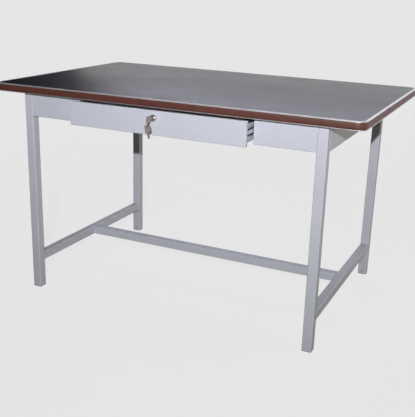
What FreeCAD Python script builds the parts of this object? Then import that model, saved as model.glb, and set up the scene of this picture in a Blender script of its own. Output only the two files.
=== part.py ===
import FreeCAD, Part
import math
import os

# Work table with a shallow lockable drawer under its front edge.
# Millimetres, X to the right, Y to the back, Z up. The solids are modelled about the
# middle of the top, and the drawer stands a little open with its keys in the lock.

# Overall sizes
TOP_WIDTH = 1300.0
TOP_DEPTH = 800.0
TABLE_HEIGHT = 750.0
TOP_CORNER_RADIUS = 30.0
SIDE_OVERHANG = 110.0
FRONT_OVERHANG = 25.0
DRAWER_OPEN = 57.0

# The origin lies on the floor under the middle of the whole outline, open drawer and keys
# included, so the middle of the top stands this far behind it
TOP_BEHIND_ORIGIN = 38.15

# Top: board, hard mat, metal edge trim and the coloured strip pressed into it
MAT_THICKNESS = 3.0
BOARD_THICKNESS = 22.0
TRIM_LIP_WIDTH = 8.0
TRIM_LIP_FACE = 3.5
TRIM_WEB_INSET = 2.5
TRIM_WEB_THICKNESS = 1.5
TRIM_FOOT_THICKNESS = 2.0
TRIM_FOOT_WIDTH = 6.0
TRIM_FOOT_FACE = 2.4
TRIM_EDGE_CHAMFER = 0.9
STRIP_SETBACK = 0.3
STRIP_EDGE_CHAMFER = 1.2

# Square tube of the legs and stretchers
LEG_SIZE = 32.0
STRETCHER_SIZE = 30.0
TUBE_WALL = 1.5
TUBE_RADIUS = 3.0
STRETCHER_HEIGHT = 114.0
FOOT_FLANGE = 2.5
FOOT_STEM = 12.0
FOOT_STEM_PLAY = 0.1
FOOT_WALL = 2.5
DRAIN_HOLE_RADIUS = 2.5
DRAIN_HOLE_HEIGHT = 13.0

# Folded sheet aprons between the legs
APRON_HEIGHT = 83.0
APRON_SHEET = 1.2
APRON_BEND = 1.8
APRON_TOP_FLANGE = 25.0
APRON_BOTTOM_FLANGE = 15.0
APRON_LIP = 8.0
OPENING_HALF_WIDTH = 312.0
OPENING_RETURN = 15.0

# Drawer
DRAWER_FRONT_HALF_WIDTH = 310.5
DRAWER_FRONT_BOTTOM = 643.5
DRAWER_FRONT_TOP = 721.5
DRAWER_FRONT_DEPTH = 12.0
DRAWER_FRONT_SHEET = 1.2
DRAWER_FRONT_RADIUS = 2.0
LINER_SHEET = 1.2
LINER_PLAY = 0.2
TRAY_HALF_WIDTH = 300.0
TRAY_BOTTOM = 649.5
TRAY_TOP = 705.0
TRAY_DEPTH = 455.0
TRAY_SHEET = 1.0
TRAY_BEND = 1.2
TRAY_HEM = 8.0
TRAY_HEM_LIP = 4.5
BACK_TOP = 698.0
BACK_FLANGE = 12.0

# Ball-bearing slides, three members each, in section: u is measured outwards from the
# drawer's side and v up and down from the slide's middle height
SLIDE_LENGTH = 450.0
SLIDE_HEIGHT = 683.0
SLIDE_FRONT_GAP = 5.0
SLIDE_SHEET = 1.0
SLIDE_THICKNESS = 12.7
INNER_LIMB = [(7.9, 8.7), (6.2, 7.5), (2.8, 7.5), (1.6, 8.7), (0.5, 8.7)]
MIDDLE_LIMB = [(2.2, 11.1), (3.2, 12.4), (5.8, 12.4), (6.8, 11.0), (10.1, 11.0)]
OUTER_LIMB = [(4.6, 14.7), (6.0, 15.9), (10.4, 15.9), (12.2, 14.6)]
BALL_RADIUS = 1.9
INNER_BALL = (4.5, 9.95)
OUTER_BALL = (8.3, 13.45)
CAGE_LENGTH = 200.0
CAGE_START = 125.0
CAGE_FLANGE = 0.8
CAGE_WEB = 0.6
INNER_CAGE_TIP = 2.6
INNER_CAGE_WEB = 8.5
OUTER_CAGE_TIP = 5.6
OUTER_CAGE_WEB = 10.9
BALLS_PER_ROW = 5
BALL_PITCH = 42.0
BALL_SIDES = 6
CAGE_WINDOW = 4.0

# Share of the drawer's travel that each part of a slide makes
OUTER_CAGE_SHARE = 0.25
MIDDLE_SHARE = 0.5
INNER_CAGE_SHARE = 0.75

# Brackets that carry the slides
CARRIER_SHEET = 1.2
CARRIER_BEND = 1.8
CARRIER_BOTTOM = 660.0
CARRIER_TOP_FLANGE = 22.0
CARRIER_BOTTOM_FLANGE = 10.0
CARRIER_START = -348.0
CARRIER_LENGTH = 450.0

# Keeper that the lock's cam turns up behind
KEEPER_HALF_WIDTH = 20.0
KEEPER_SHEET = 1.5
KEEPER_BEND = 1.8
KEEPER_FRONT = -354.0
KEEPER_BOTTOM = 710.0
KEEPER_DEPTH = 24.0

# Cam lock in the middle of the drawer front
LOCK_HEIGHT = 698.5
LOCK_BEZEL_RADIUS = 11.0
LOCK_BEZEL_DEPTH = 7.0
LOCK_BEZEL_RIM = 1.8
LOCK_BEZEL_SHOULDER = 9.9
LOCK_BEZEL_RISE = 5.2
LOCK_BEZEL_MOUTH = 7.6
LOCK_BEZEL_SIDES = 32
LOCK_BODY_RADIUS = 9.5
LOCK_BODY_LENGTH = 24.0
LOCK_BODY_FLAT = 8.2
LOCK_HOLE_PLAY = 0.1
LOCK_BORE_RADIUS = 6.6
LOCK_NUT_ACROSS_FLATS = 24.0
LOCK_NUT_THICKNESS = 4.0
PLUG_RADIUS = 6.52
PLUG_SETBACK = 0.4
PLUG_SQUARE = 6.0
CAM_THICKNESS = 2.0
CAM_GAP = 0.6
CAM_WIDTH = 14.0
CAM_REACH = 22.0
CAM_TIP_RADIUS = 4.2
CAM_HOLE_PLAY = 0.05
CAM_SCREW_ACROSS_FLATS = 8.0
CAM_SCREW_HEAD_HEIGHT = 2.4
CAM_SCREW_RADIUS = 1.6
CAM_SCREW_LENGTH = 6.0

# Keys and their ring
KEY_THICKNESS = 2.0
KEY_BOW_LENGTH = 24.0
KEY_BOW_WIDTH = 21.0
KEY_BOW_RADIUS = 6.5
KEY_HOLE_RADIUS = 3.25
KEY_HOLE_INSET = 6.25
KEY_BLADE_LENGTH = 20.0
KEY_BLADE_WIDTH = 7.4
KEY_TIP_CHAMFER = 2.2
KEY_GROOVE_WIDTH = 1.6
KEY_GROOVE_DEPTH = 0.45
KEY_GROOVE_LOW = 1.1
KEY_CUTS = ((5.0, 1.2), (8.2, 2.0), (11.4, 0.9), (14.6, 1.6))
KEY_CUT_SLOPE = 1.3
KEY_OUT = 43.0
KEYWAY_PLAY = 0.2
KEYWAY_DEPTH = 24.5
RING_RADIUS = 9.5
RING_WIRE_RADIUS = 0.85
RING_SIDES = 24
RING_WIRE_SIDES = 6
RING_TURN = -45.0
RING_SEAT_PLAY = 1.3
SPARE_SEAT_PLAY = 0.9
SPARE_TURN = -88.0
SPARE_LEAN = 8.0

# Levels and faces that follow from the sizes above
BOARD_BOTTOM = TABLE_HEIGHT - MAT_THICKNESS - BOARD_THICKNESS
BOARD_TOP = TABLE_HEIGHT - MAT_THICKNESS
TRIM_BOTTOM = BOARD_BOTTOM - TRIM_FOOT_THICKNESS
TRIM_BOARD_INSET = TRIM_WEB_INSET + TRIM_WEB_THICKNESS
STRIP_BOTTOM = TRIM_BOTTOM + TRIM_FOOT_FACE
STRIP_TOP = TABLE_HEIGHT - TRIM_LIP_FACE
FRAME_HALF_WIDTH = TOP_WIDTH / 2 - SIDE_OVERHANG
FRAME_HALF_DEPTH = TOP_DEPTH / 2 - FRONT_OVERHANG
LEG_X = FRAME_HALF_WIDTH - LEG_SIZE / 2
LEG_Y = FRAME_HALF_DEPTH - LEG_SIZE / 2
INSIDE_LEGS_X = FRAME_HALF_WIDTH - LEG_SIZE
INSIDE_LEGS_Y = FRAME_HALF_DEPTH - LEG_SIZE
INSIDE_STRETCHERS_X = LEG_X - STRETCHER_SIZE / 2
APRON_BOTTOM = BOARD_BOTTOM - APRON_HEIGHT
DRAWER_FACE = -FRAME_HALF_DEPTH
TRAY_FRONT = DRAWER_FACE + DRAWER_FRONT_DEPTH
TRAY_REAR = TRAY_FRONT + TRAY_DEPTH
SLIDE_FRONT = TRAY_FRONT + SLIDE_FRONT_GAP
SLIDE_OUTSIDE = TRAY_HALF_WIDTH + SLIDE_THICKNESS
LOCK_REAR = DRAWER_FACE + LOCK_BODY_LENGTH
CAM_FRONT = LOCK_REAR + CAM_GAP
CAM_REAR = CAM_FRONT + CAM_THICKNESS
BEZEL_FRONT = DRAWER_FACE - LOCK_BEZEL_DEPTH
KEY_HOLE_Y = DRAWER_FACE - KEY_OUT + KEY_HOLE_INSET
RING_TOP = LOCK_HEIGHT - KEY_HOLE_RADIUS + RING_WIRE_RADIUS + RING_SEAT_PLAY
RING_BOTTOM = RING_TOP - 2 * RING_RADIUS
SPARE_HOLE_HEIGHT = RING_BOTTOM + RING_WIRE_RADIUS + SPARE_SEAT_PLAY - KEY_HOLE_RADIUS

SIDES = (("left", -1.0), ("right", 1.0))
X_AXIS = FreeCAD.Vector(1, 0, 0)
Y_AXIS = FreeCAD.Vector(0, 1, 0)
Z_AXIS = FreeCAD.Vector(0, 0, 1)


def vec(x, y, z):
    return FreeCAD.Vector(x, y, z)


def save(name, shape, travel=0.0):
    """Write one piece, moved forwards by its share of the drawer's opening."""
    placed = shape.copy()
    placed.translate(vec(0, TOP_BEHIND_ORIGIN - travel, 0))
    placed.exportStep(os.path.join("parts", name + ".step"))


def box(x0, x1, y0, y1, z0, z1):
    return Part.makeBox(x1 - x0, y1 - y0, z1 - z0, vec(x0, y0, z0))


def round_bar(radius, start, direction, length):
    return Part.makeCylinder(radius, length, start, direction)


def rounded_outline(half_a, half_b, radius, place):
    """Closed wire of a rounded rectangle; place turns its two coordinates into a point."""
    edges = []
    corners = ((1, 1), (-1, 1), (-1, -1), (1, -1))
    for index, (sign_a, sign_b) in enumerate(corners):
        centre_a = sign_a * (half_a - radius)
        centre_b = sign_b * (half_b - radius)
        start = math.radians(90.0 * index)
        points = []
        for step in range(3):
            angle = start + step * math.pi / 4
            points.append(place(centre_a + radius * math.cos(angle), centre_b + radius * math.sin(angle)))
        edges.append(Part.Arc(*points).toShape())
    closed = []
    for index, arc in enumerate(edges):
        following = edges[(index + 1) % len(edges)]
        closed.append(arc)
        closed.append(Part.makeLine(arc.Vertexes[-1].Point, following.Vertexes[0].Point))
    return Part.Wire(closed)


def strip_directions(points):
    """Points of a strip's middle line, with the direction and left normal of each stretch."""
    flat = [vec(a, b, 0) for a, b in points]
    directions = [(flat[i + 1] - flat[i]).normalize() for i in range(len(flat) - 1)]
    normals = [vec(-d.y, d.x, 0) for d in directions]
    return flat, directions, normals


def sharp_section(points, thickness, place):
    """Face of a thin strip with sharp folds: points run along its middle."""
    flat, _, normals = strip_directions(points)
    mitres = [normals[0]]
    for before, after in zip(normals, normals[1:]):
        mitres.append((before + after) * (1 / (1 + before.dot(after))))
    mitres.append(normals[-1])
    half = thickness / 2
    left = [point + mitre * half for point, mitre in zip(flat, mitres)]
    right = [point - mitre * half for point, mitre in zip(flat, mitres)]
    outline = [place(point.x, point.y) for point in left + right[::-1] + left[:1]]
    return Part.Face(Part.makePolygon(outline))


def folded_section(points, thickness, bend, place):
    """Face of a folded strip: points run along its middle, and each corner is bent round."""
    flat, directions, normals = strip_directions(points)

    def side(offset):
        """Straight and bent stretches of one face of the strip, in order."""
        stretches = []
        here = flat[0] + normals[0] * offset
        for i in range(1, len(flat) - 1):
            turn = math.asin(max(-1.0, min(1.0, directions[i - 1].cross(directions[i]).z)))
            if directions[i - 1].dot(directions[i]) < 0:
                turn = math.copysign(math.pi - abs(turn), turn)
            back = bend * math.tan(abs(turn) / 2)
            way = math.copysign(1.0, turn)
            centre = flat[i] - directions[i - 1] * back + normals[i - 1] * (bend * way)
            radius = bend - way * offset
            middle = (normals[i - 1] + normals[i]).normalize()
            start = centre - normals[i - 1] * (radius * way)
            halfway = centre - middle * (radius * way)
            end = centre - normals[i] * (radius * way)
            stretches.append((here, None, start))
            stretches.append((start, halfway, end))
            here = end
        stretches.append((here, None, flat[-1] + normals[-1] * offset))
        return stretches

    left = side(thickness / 2)
    right = [(end, halfway, start) for start, halfway, end in reversed(side(-thickness / 2))]
    outline = left + [(left[-1][2], None, right[0][0])] + right + [(right[-1][2], None, left[0][0])]
    edges = []
    for start, halfway, end in outline:
        first = place(start.x, start.y)
        last = place(end.x, end.y)
        if halfway is None:
            edges.append(Part.makeLine(first, last))
        else:
            edges.append(Part.Arc(first, place(halfway.x, halfway.y), last).toShape())
    return Part.Face(Part.Wire(edges))


def faceted_turning(profile, sides, closed):
    """Turned solid with flat sides about Z; profile holds radius and height pairs."""
    rows = []
    for index in range(sides):
        angle = 2 * math.pi * index / sides
        rows.append([vec(r * math.cos(angle), r * math.sin(angle), height) for r, height in profile])
    pairs = [(k, k + 1) for k in range(len(profile) - 1)]
    if closed:
        pairs.append((len(profile) - 1, 0))
    faces = []
    for index in range(sides):
        here = rows[index]
        following = rows[(index + 1) % sides]
        for low, high in pairs:
            corners = [here[low], following[low], following[high], here[high]]
            if profile[low][0] == 0:
                corners.pop(1)
            if profile[high][0] == 0:
                corners.pop()
            faces.append(Part.Face(Part.makePolygon(corners + corners[:1])))
    return Part.Solid(Part.Shell(faces))


def drilled(shape, radius, starts, direction, depth):
    """Cut one round hole at each start."""
    return shape.cut([round_bar(radius, start, direction, depth) for start in starts])


def plate(inset, z0, z1):
    """Slab with the outline of the top, drawn in all round by inset."""
    outline = rounded_outline(
        TOP_WIDTH / 2 - inset,
        TOP_DEPTH / 2 - inset,
        TOP_CORNER_RADIUS - inset,
        lambda a, b: vec(a, b, z0),
    )
    return Part.Face(outline).extrude(vec(0, 0, z1 - z0))


def outline_edges(shape, inset, height):
    """Edges of a slab-like shape that run round at one height and one inset."""
    reach_x = TOP_WIDTH / 2 - inset
    reach_y = TOP_DEPTH / 2 - inset
    found = []
    for edge in shape.Edges:
        middle = edge.valueAt((edge.FirstParameter + edge.LastParameter) / 2)
        level = all(abs(vertex.Point.z - height) < 1e-6 for vertex in edge.Vertexes)
        corner = math.hypot(
            abs(middle.x) - (TOP_WIDTH / 2 - TOP_CORNER_RADIUS),
            abs(middle.y) - (TOP_DEPTH / 2 - TOP_CORNER_RADIUS),
        )
        on_corner = abs(corner - (TOP_CORNER_RADIUS - inset)) < 1e-3
        on_side = abs(abs(middle.x) - reach_x) < 1e-6 or abs(abs(middle.y) - reach_y) < 1e-6
        if level and (on_side or on_corner):
            found.append(edge)
    return found


def edge_trim():
    """Metal edge profile: a lip over the mat, a web against the board and a foot under it."""
    trim = plate(0, TRIM_BOTTOM, TABLE_HEIGHT)
    trim = trim.cut(plate(TRIM_FOOT_WIDTH, TRIM_BOTTOM, BOARD_BOTTOM))
    trim = trim.cut(plate(TRIM_BOARD_INSET, BOARD_BOTTOM, BOARD_TOP))
    trim = trim.cut(plate(TRIM_LIP_WIDTH, BOARD_TOP, TABLE_HEIGHT))
    groove = plate(0, STRIP_BOTTOM, STRIP_TOP).cut(plate(TRIM_WEB_INSET, STRIP_BOTTOM, STRIP_TOP))
    trim = trim.cut(groove)
    return trim.makeChamfer(TRIM_EDGE_CHAMFER, outline_edges(trim, 0, TABLE_HEIGHT))


def edge_strip():
    """Coloured strip that fills the groove of the trim, eased along both its edges."""
    strip = plate(STRIP_SETBACK, STRIP_BOTTOM, STRIP_TOP)
    edges = outline_edges(strip, STRIP_SETBACK, STRIP_BOTTOM) + outline_edges(strip, STRIP_SETBACK, STRIP_TOP)
    strip = strip.makeChamfer(STRIP_EDGE_CHAMFER, edges)
    return strip.cut(plate(TRIM_WEB_INSET, STRIP_BOTTOM, STRIP_TOP))


def square_tube(size, centre, direction, length):
    """Square tube, rounded outside, that starts at centre and runs along direction."""
    outer = rounded_outline(size / 2, size / 2, TUBE_RADIUS, lambda a, b: vec(a, b, 0))
    hollow = size / 2 - TUBE_WALL
    tube = Part.Face(outer).extrude(vec(0, 0, length)).cut(box(-hollow, hollow, -hollow, hollow, 0, length))
    tube.Placement = FreeCAD.Placement(centre, FreeCAD.Rotation(Z_AXIS, direction))
    return tube.Solids[0]


def foot(x, y):
    """Plastic plug: a flange under the tube and a hollow stem inside it."""
    outline = rounded_outline(LEG_SIZE / 2, LEG_SIZE / 2, TUBE_RADIUS, lambda a, b: vec(x + a, y + b, 0))
    flange = Part.Face(outline).extrude(vec(0, 0, FOOT_FLANGE))
    stem = LEG_SIZE / 2 - TUBE_WALL - FOOT_STEM_PLAY
    hollow = stem - FOOT_WALL
    top = FOOT_FLANGE + FOOT_STEM
    plug = flange.fuse(box(x - stem, x + stem, y - stem, y + stem, FOOT_FLANGE, top))
    plug = plug.cut(box(x - hollow, x + hollow, y - hollow, y + hollow, FOOT_FLANGE, top))
    return plug.removeSplitter()


def leg(x_side, y_side):
    """Leg tube with a drain hole near the floor in the face towards the other row of legs."""
    lower_end = vec(x_side * LEG_X, y_side * LEG_Y, FOOT_FLANGE)
    tube = square_tube(LEG_SIZE, lower_end, Z_AXIS, BOARD_BOTTOM - FOOT_FLANGE)
    start = vec(x_side * LEG_X, y_side * INSIDE_LEGS_Y, DRAIN_HOLE_HEIGHT)
    return drilled(tube, DRAIN_HOLE_RADIUS, [start], Y_AXIS * y_side, TUBE_WALL * 2)


def apron_points():
    """Middle line of an apron's section: depth behind its face, and height."""
    half = APRON_SHEET / 2
    return [
        (APRON_TOP_FLANGE, BOARD_BOTTOM - half),
        (half, BOARD_BOTTOM - half),
        (half, APRON_BOTTOM + half),
        (APRON_BOTTOM_FLANGE - half, APRON_BOTTOM + half),
        (APRON_BOTTOM_FLANGE - half, APRON_BOTTOM + APRON_LIP),
    ]


def side_apron(sign):
    face = folded_section(
        apron_points(),
        APRON_SHEET,
        APRON_BEND,
        lambda depth, z: vec(sign * (FRAME_HALF_WIDTH - depth), -INSIDE_LEGS_Y, z),
    )
    return face.extrude(vec(0, 2 * INSIDE_LEGS_Y, 0))


def cross_apron(y_sign, x0, x1):
    face = folded_section(
        apron_points(),
        APRON_SHEET,
        APRON_BEND,
        lambda depth, z: vec(x0, y_sign * (FRAME_HALF_DEPTH - depth), z),
    )
    return face.extrude(vec(x1 - x0, 0, 0))


def front_apron(sign):
    """Short apron beside the drawer, with its sheet turned back along the opening."""
    x0, x1 = sorted((sign * OPENING_HALF_WIDTH, sign * INSIDE_LEGS_X))
    apron = cross_apron(-1, x0, x1)
    edge_x0, edge_x1 = sorted((sign * OPENING_HALF_WIDTH, sign * (OPENING_HALF_WIDTH + APRON_SHEET)))
    low = APRON_BOTTOM + APRON_SHEET
    high = BOARD_BOTTOM - APRON_SHEET
    face_y = -FRAME_HALF_DEPTH + APRON_SHEET
    turned_back = box(edge_x0, edge_x1, face_y, -FRAME_HALF_DEPTH + OPENING_RETURN, low, high)
    return apron.fuse(turned_back).removeSplitter()


def carrier(sign):
    """Bracket under the board that holds the outer member of one slide."""
    half = CARRIER_SHEET / 2
    points = [
        (SLIDE_OUTSIDE + CARRIER_TOP_FLANGE, BOARD_BOTTOM - half),
        (SLIDE_OUTSIDE + half, BOARD_BOTTOM - half),
        (SLIDE_OUTSIDE + half, CARRIER_BOTTOM + half),
        (SLIDE_OUTSIDE + CARRIER_BOTTOM_FLANGE, CARRIER_BOTTOM + half),
    ]
    face = folded_section(points, CARRIER_SHEET, CARRIER_BEND, lambda x, z: vec(sign * x, CARRIER_START, z))
    return face.extrude(vec(0, CARRIER_LENGTH, 0))


def slide_member(sign, limb):
    """One folded member of a slide: a limb above, its mirror image below and a web between."""
    lower = [(u, -v) for u, v in reversed(limb)]
    face = sharp_section(
        limb + lower,
        SLIDE_SHEET,
        lambda u, v: vec(sign * (TRAY_HALF_WIDTH + u), SLIDE_FRONT, SLIDE_HEIGHT + v),
    )
    return face.extrude(vec(0, SLIDE_LENGTH, 0))


def ball_places(sign, ball):
    """Centres of the balls of one cage, in a row above and a row below."""
    u, v = ball
    margin = (CAGE_LENGTH - BALL_PITCH * (BALLS_PER_ROW - 1)) / 2
    first = SLIDE_FRONT + CAGE_START + margin
    x = sign * (TRAY_HALF_WIDTH + u)
    return [
        vec(x, first + BALL_PITCH * index, SLIDE_HEIGHT + row * v)
        for row in (1, -1)
        for index in range(BALLS_PER_ROW)
    ]


def ball_cage(sign, ball, tip, web):
    """Thin channel with a square window for each ball in its two flanges."""
    start = SLIDE_FRONT + CAGE_START

    def slab(u0, u1, v0, v1):
        x0, x1 = sorted((sign * (TRAY_HALF_WIDTH + u0), sign * (TRAY_HALF_WIDTH + u1)))
        return box(x0, x1, start, start + CAGE_LENGTH, SLIDE_HEIGHT + v0, SLIDE_HEIGHT + v1)

    inner_edge = ball[1] - CAGE_FLANGE / 2
    outer_edge = ball[1] + CAGE_FLANGE / 2
    channel = slab(tip, web + CAGE_WEB, -outer_edge, outer_edge).cut(slab(tip, web, -inner_edge, inner_edge))
    half = CAGE_WINDOW / 2
    windows = [
        box(c.x - half, c.x + half, c.y - half, c.y + half, c.z - CAGE_FLANGE / 2, c.z + CAGE_FLANGE / 2)
        for c in ball_places(sign, ball)
    ]
    return channel.cut(windows)


def balls(sign, ball):
    quarter = math.pi / 4
    profile = [(BALL_RADIUS * math.cos(k * quarter), BALL_RADIUS * math.sin(k * quarter)) for k in (-1, 0, 1)]
    profile = [(0, -BALL_RADIUS)] + profile + [(0, BALL_RADIUS)]
    solids = []
    for place in ball_places(sign, ball):
        solid = faceted_turning(profile, BALL_SIDES, False)
        solid.translate(place)
        solids.append(solid)
    return Part.makeCompound(solids)


def lock_keeper():
    """Angle under the board whose tab hangs down behind the drawer front."""
    half = KEEPER_SHEET / 2
    points = [
        (KEEPER_FRONT + KEEPER_DEPTH, BOARD_BOTTOM - half),
        (KEEPER_FRONT + half, BOARD_BOTTOM - half),
        (KEEPER_FRONT + half, KEEPER_BOTTOM),
    ]
    face = folded_section(points, KEEPER_SHEET, KEEPER_BEND, lambda y, z: vec(-KEEPER_HALF_WIDTH, y, z))
    return face.extrude(vec(2 * KEEPER_HALF_WIDTH, 0, 0))


def lock_hole(y0, y1):
    start = vec(0, y0, LOCK_HEIGHT)
    return round_bar(LOCK_BODY_RADIUS + LOCK_HOLE_PLAY, start, Y_AXIS, y1 - y0)


def drawer_front():
    """Shallow pan of folded sheet, open at the back, with a hole for the lock."""
    outside = box(
        -DRAWER_FRONT_HALF_WIDTH,
        DRAWER_FRONT_HALF_WIDTH,
        DRAWER_FACE,
        TRAY_FRONT,
        DRAWER_FRONT_BOTTOM,
        DRAWER_FRONT_TOP,
    )
    front_edges = [
        edge
        for edge in outside.Edges
        if all(abs(vertex.Point.y - DRAWER_FACE) < 1e-6 for vertex in edge.Vertexes)
    ]
    outside = outside.makeFillet(DRAWER_FRONT_RADIUS, front_edges)
    sheet = DRAWER_FRONT_SHEET
    inside = box(
        -DRAWER_FRONT_HALF_WIDTH + sheet,
        DRAWER_FRONT_HALF_WIDTH - sheet,
        DRAWER_FACE + sheet,
        TRAY_FRONT,
        DRAWER_FRONT_BOTTOM + sheet,
        DRAWER_FRONT_TOP - sheet,
    )
    return outside.cut(inside).cut(lock_hole(DRAWER_FACE, TRAY_FRONT))


def drawer_liner():
    """Flat sheet that closes the back of the drawer front."""
    inset = DRAWER_FRONT_SHEET + LINER_PLAY
    liner = box(
        -DRAWER_FRONT_HALF_WIDTH + inset,
        DRAWER_FRONT_HALF_WIDTH - inset,
        TRAY_FRONT - LINER_SHEET,
        TRAY_FRONT,
        DRAWER_FRONT_BOTTOM + inset,
        DRAWER_FRONT_TOP - inset,
    )
    return liner.cut(lock_hole(TRAY_FRONT - LINER_SHEET, TRAY_FRONT))


def drawer_tray():
    """Bottom and sides in one folded sheet, with hemmed upper edges."""
    half = TRAY_SHEET / 2
    side_x = TRAY_HALF_WIDTH - half
    hem_x = TRAY_HALF_WIDTH - TRAY_HEM + half
    one_side = [
        (hem_x, TRAY_TOP - TRAY_HEM_LIP),
        (hem_x, TRAY_TOP - half),
        (side_x, TRAY_TOP - half),
        (side_x, TRAY_BOTTOM + half),
    ]
    other_side = [(-x, z) for x, z in reversed(one_side)]
    face = folded_section(one_side + other_side, TRAY_SHEET, TRAY_BEND, lambda x, z: vec(x, TRAY_FRONT, z))
    return face.extrude(vec(0, TRAY_DEPTH, 0))


def drawer_back():
    """Rear wall, flanged forwards along the sides and the bottom of the tray."""
    half_width = TRAY_HALF_WIDTH - TRAY_SHEET
    floor = TRAY_BOTTOM + TRAY_SHEET
    bend_room = TRAY_BEND
    back = box(-half_width, half_width, TRAY_REAR - TRAY_SHEET, TRAY_REAR, floor + bend_room, BACK_TOP)
    for _, sign in SIDES:
        x0, x1 = sorted((sign * half_width, sign * (half_width - TRAY_SHEET)))
        back = back.fuse(box(x0, x1, TRAY_REAR - BACK_FLANGE, TRAY_REAR, floor + bend_room, BACK_TOP))
    inner = half_width - 2 * bend_room
    back = back.fuse(box(-inner, inner, TRAY_REAR - BACK_FLANGE, TRAY_REAR, floor, floor + TRAY_SHEET))
    back = back.fuse(box(-inner, inner, TRAY_REAR - TRAY_SHEET, TRAY_REAR, floor, floor + bend_room))
    return back.removeSplitter()


def lock_housing():
    """Domed bezel on the drawer front and the flat-sided body behind it."""
    outline = [
        (LOCK_BORE_RADIUS, 0),
        (LOCK_BEZEL_RADIUS, 0),
        (LOCK_BEZEL_RADIUS, LOCK_BEZEL_RIM),
        (LOCK_BEZEL_SHOULDER, LOCK_BEZEL_RISE),
        (LOCK_BEZEL_MOUTH, LOCK_BEZEL_DEPTH),
        (LOCK_BORE_RADIUS, LOCK_BEZEL_DEPTH - PLUG_SETBACK),
    ]
    bezel = faceted_turning(outline, LOCK_BEZEL_SIDES, True)
    start = vec(0, DRAWER_FACE, LOCK_HEIGHT)
    bezel.Placement = FreeCAD.Placement(start, FreeCAD.Rotation(Z_AXIS, Y_AXIS * -1))
    body = round_bar(LOCK_BODY_RADIUS, start, Y_AXIS, LOCK_BODY_LENGTH)
    flats = box(
        -LOCK_BODY_FLAT,
        LOCK_BODY_FLAT,
        DRAWER_FACE,
        LOCK_REAR,
        LOCK_HEIGHT - LOCK_BODY_RADIUS,
        LOCK_HEIGHT + LOCK_BODY_RADIUS,
    )
    body = body.common(flats).cut(round_bar(LOCK_BORE_RADIUS, start, Y_AXIS, LOCK_BODY_LENGTH))
    return bezel.fuse(body).removeSplitter()


def hexagon(across_flats, y, length):
    """Hexagon bar about the lock's axis."""
    corner = across_flats / 2 / math.cos(math.pi / 6)
    points = []
    for index in range(7):
        angle = index * math.pi / 3
        points.append(vec(corner * math.cos(angle), y, LOCK_HEIGHT + corner * math.sin(angle)))
    return Part.Face(Part.makePolygon(points)).extrude(vec(0, length, 0))


def lock_nut():
    """Hexagon nut that draws the lock against the drawer front."""
    nut = hexagon(LOCK_NUT_ACROSS_FLATS, TRAY_FRONT, LOCK_NUT_THICKNESS)
    return nut.cut(lock_hole(TRAY_FRONT, TRAY_FRONT + LOCK_NUT_THICKNESS))


def lock_plug():
    """Turning core with a keyway in front and a square for the cam behind."""
    front = BEZEL_FRONT + PLUG_SETBACK
    plug = round_bar(PLUG_RADIUS, vec(0, front, LOCK_HEIGHT), Y_AXIS, CAM_FRONT - front)
    half = PLUG_SQUARE / 2
    plug = plug.fuse(box(-half, half, CAM_FRONT, CAM_REAR, LOCK_HEIGHT - half, LOCK_HEIGHT + half))
    slot_x = KEY_THICKNESS / 2 + KEYWAY_PLAY
    slot_z = KEY_BLADE_WIDTH / 2 + KEYWAY_PLAY
    keyway = box(-slot_x, slot_x, front, front + KEYWAY_DEPTH, LOCK_HEIGHT - slot_z, LOCK_HEIGHT + slot_z)
    hole = round_bar(CAM_SCREW_RADIUS, vec(0, CAM_REAR, LOCK_HEIGHT), Y_AXIS * -1, CAM_SCREW_LENGTH)
    return plug.cut(keyway).cut(hole).removeSplitter()


def lock_cam():
    """Flat tongue on the plug's square; it points to the left while the lock is open."""
    half = CAM_WIDTH / 2
    tongue = box(-CAM_REACH, 0, CAM_FRONT, CAM_FRONT + CAM_THICKNESS, LOCK_HEIGHT - half, LOCK_HEIGHT + half)
    tip_edges = [
        edge
        for edge in tongue.Edges
        if all(abs(vertex.Point.x + CAM_REACH) < 1e-6 for vertex in edge.Vertexes)
        and abs(edge.Vertexes[0].Point.y - edge.Vertexes[1].Point.y) > 1e-6
    ]
    tongue = tongue.makeFillet(CAM_TIP_RADIUS, tip_edges)
    eye = round_bar(half, vec(0, CAM_FRONT, LOCK_HEIGHT), Y_AXIS, CAM_THICKNESS)
    cam = tongue.fuse(eye)
    hole = PLUG_SQUARE / 2 + CAM_HOLE_PLAY
    square = box(-hole, hole, CAM_FRONT, CAM_FRONT + CAM_THICKNESS, LOCK_HEIGHT - hole, LOCK_HEIGHT + hole)
    return cam.cut(square).removeSplitter()


def cam_screw():
    """Hexagon-headed screw that holds the cam on the plug's square."""
    head = hexagon(CAM_SCREW_ACROSS_FLATS, CAM_REAR, CAM_SCREW_HEAD_HEIGHT)
    shank = round_bar(CAM_SCREW_RADIUS, vec(0, CAM_REAR, LOCK_HEIGHT), Y_AXIS * -1, CAM_SCREW_LENGTH)
    return head.fuse(shank).removeSplitter()


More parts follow.
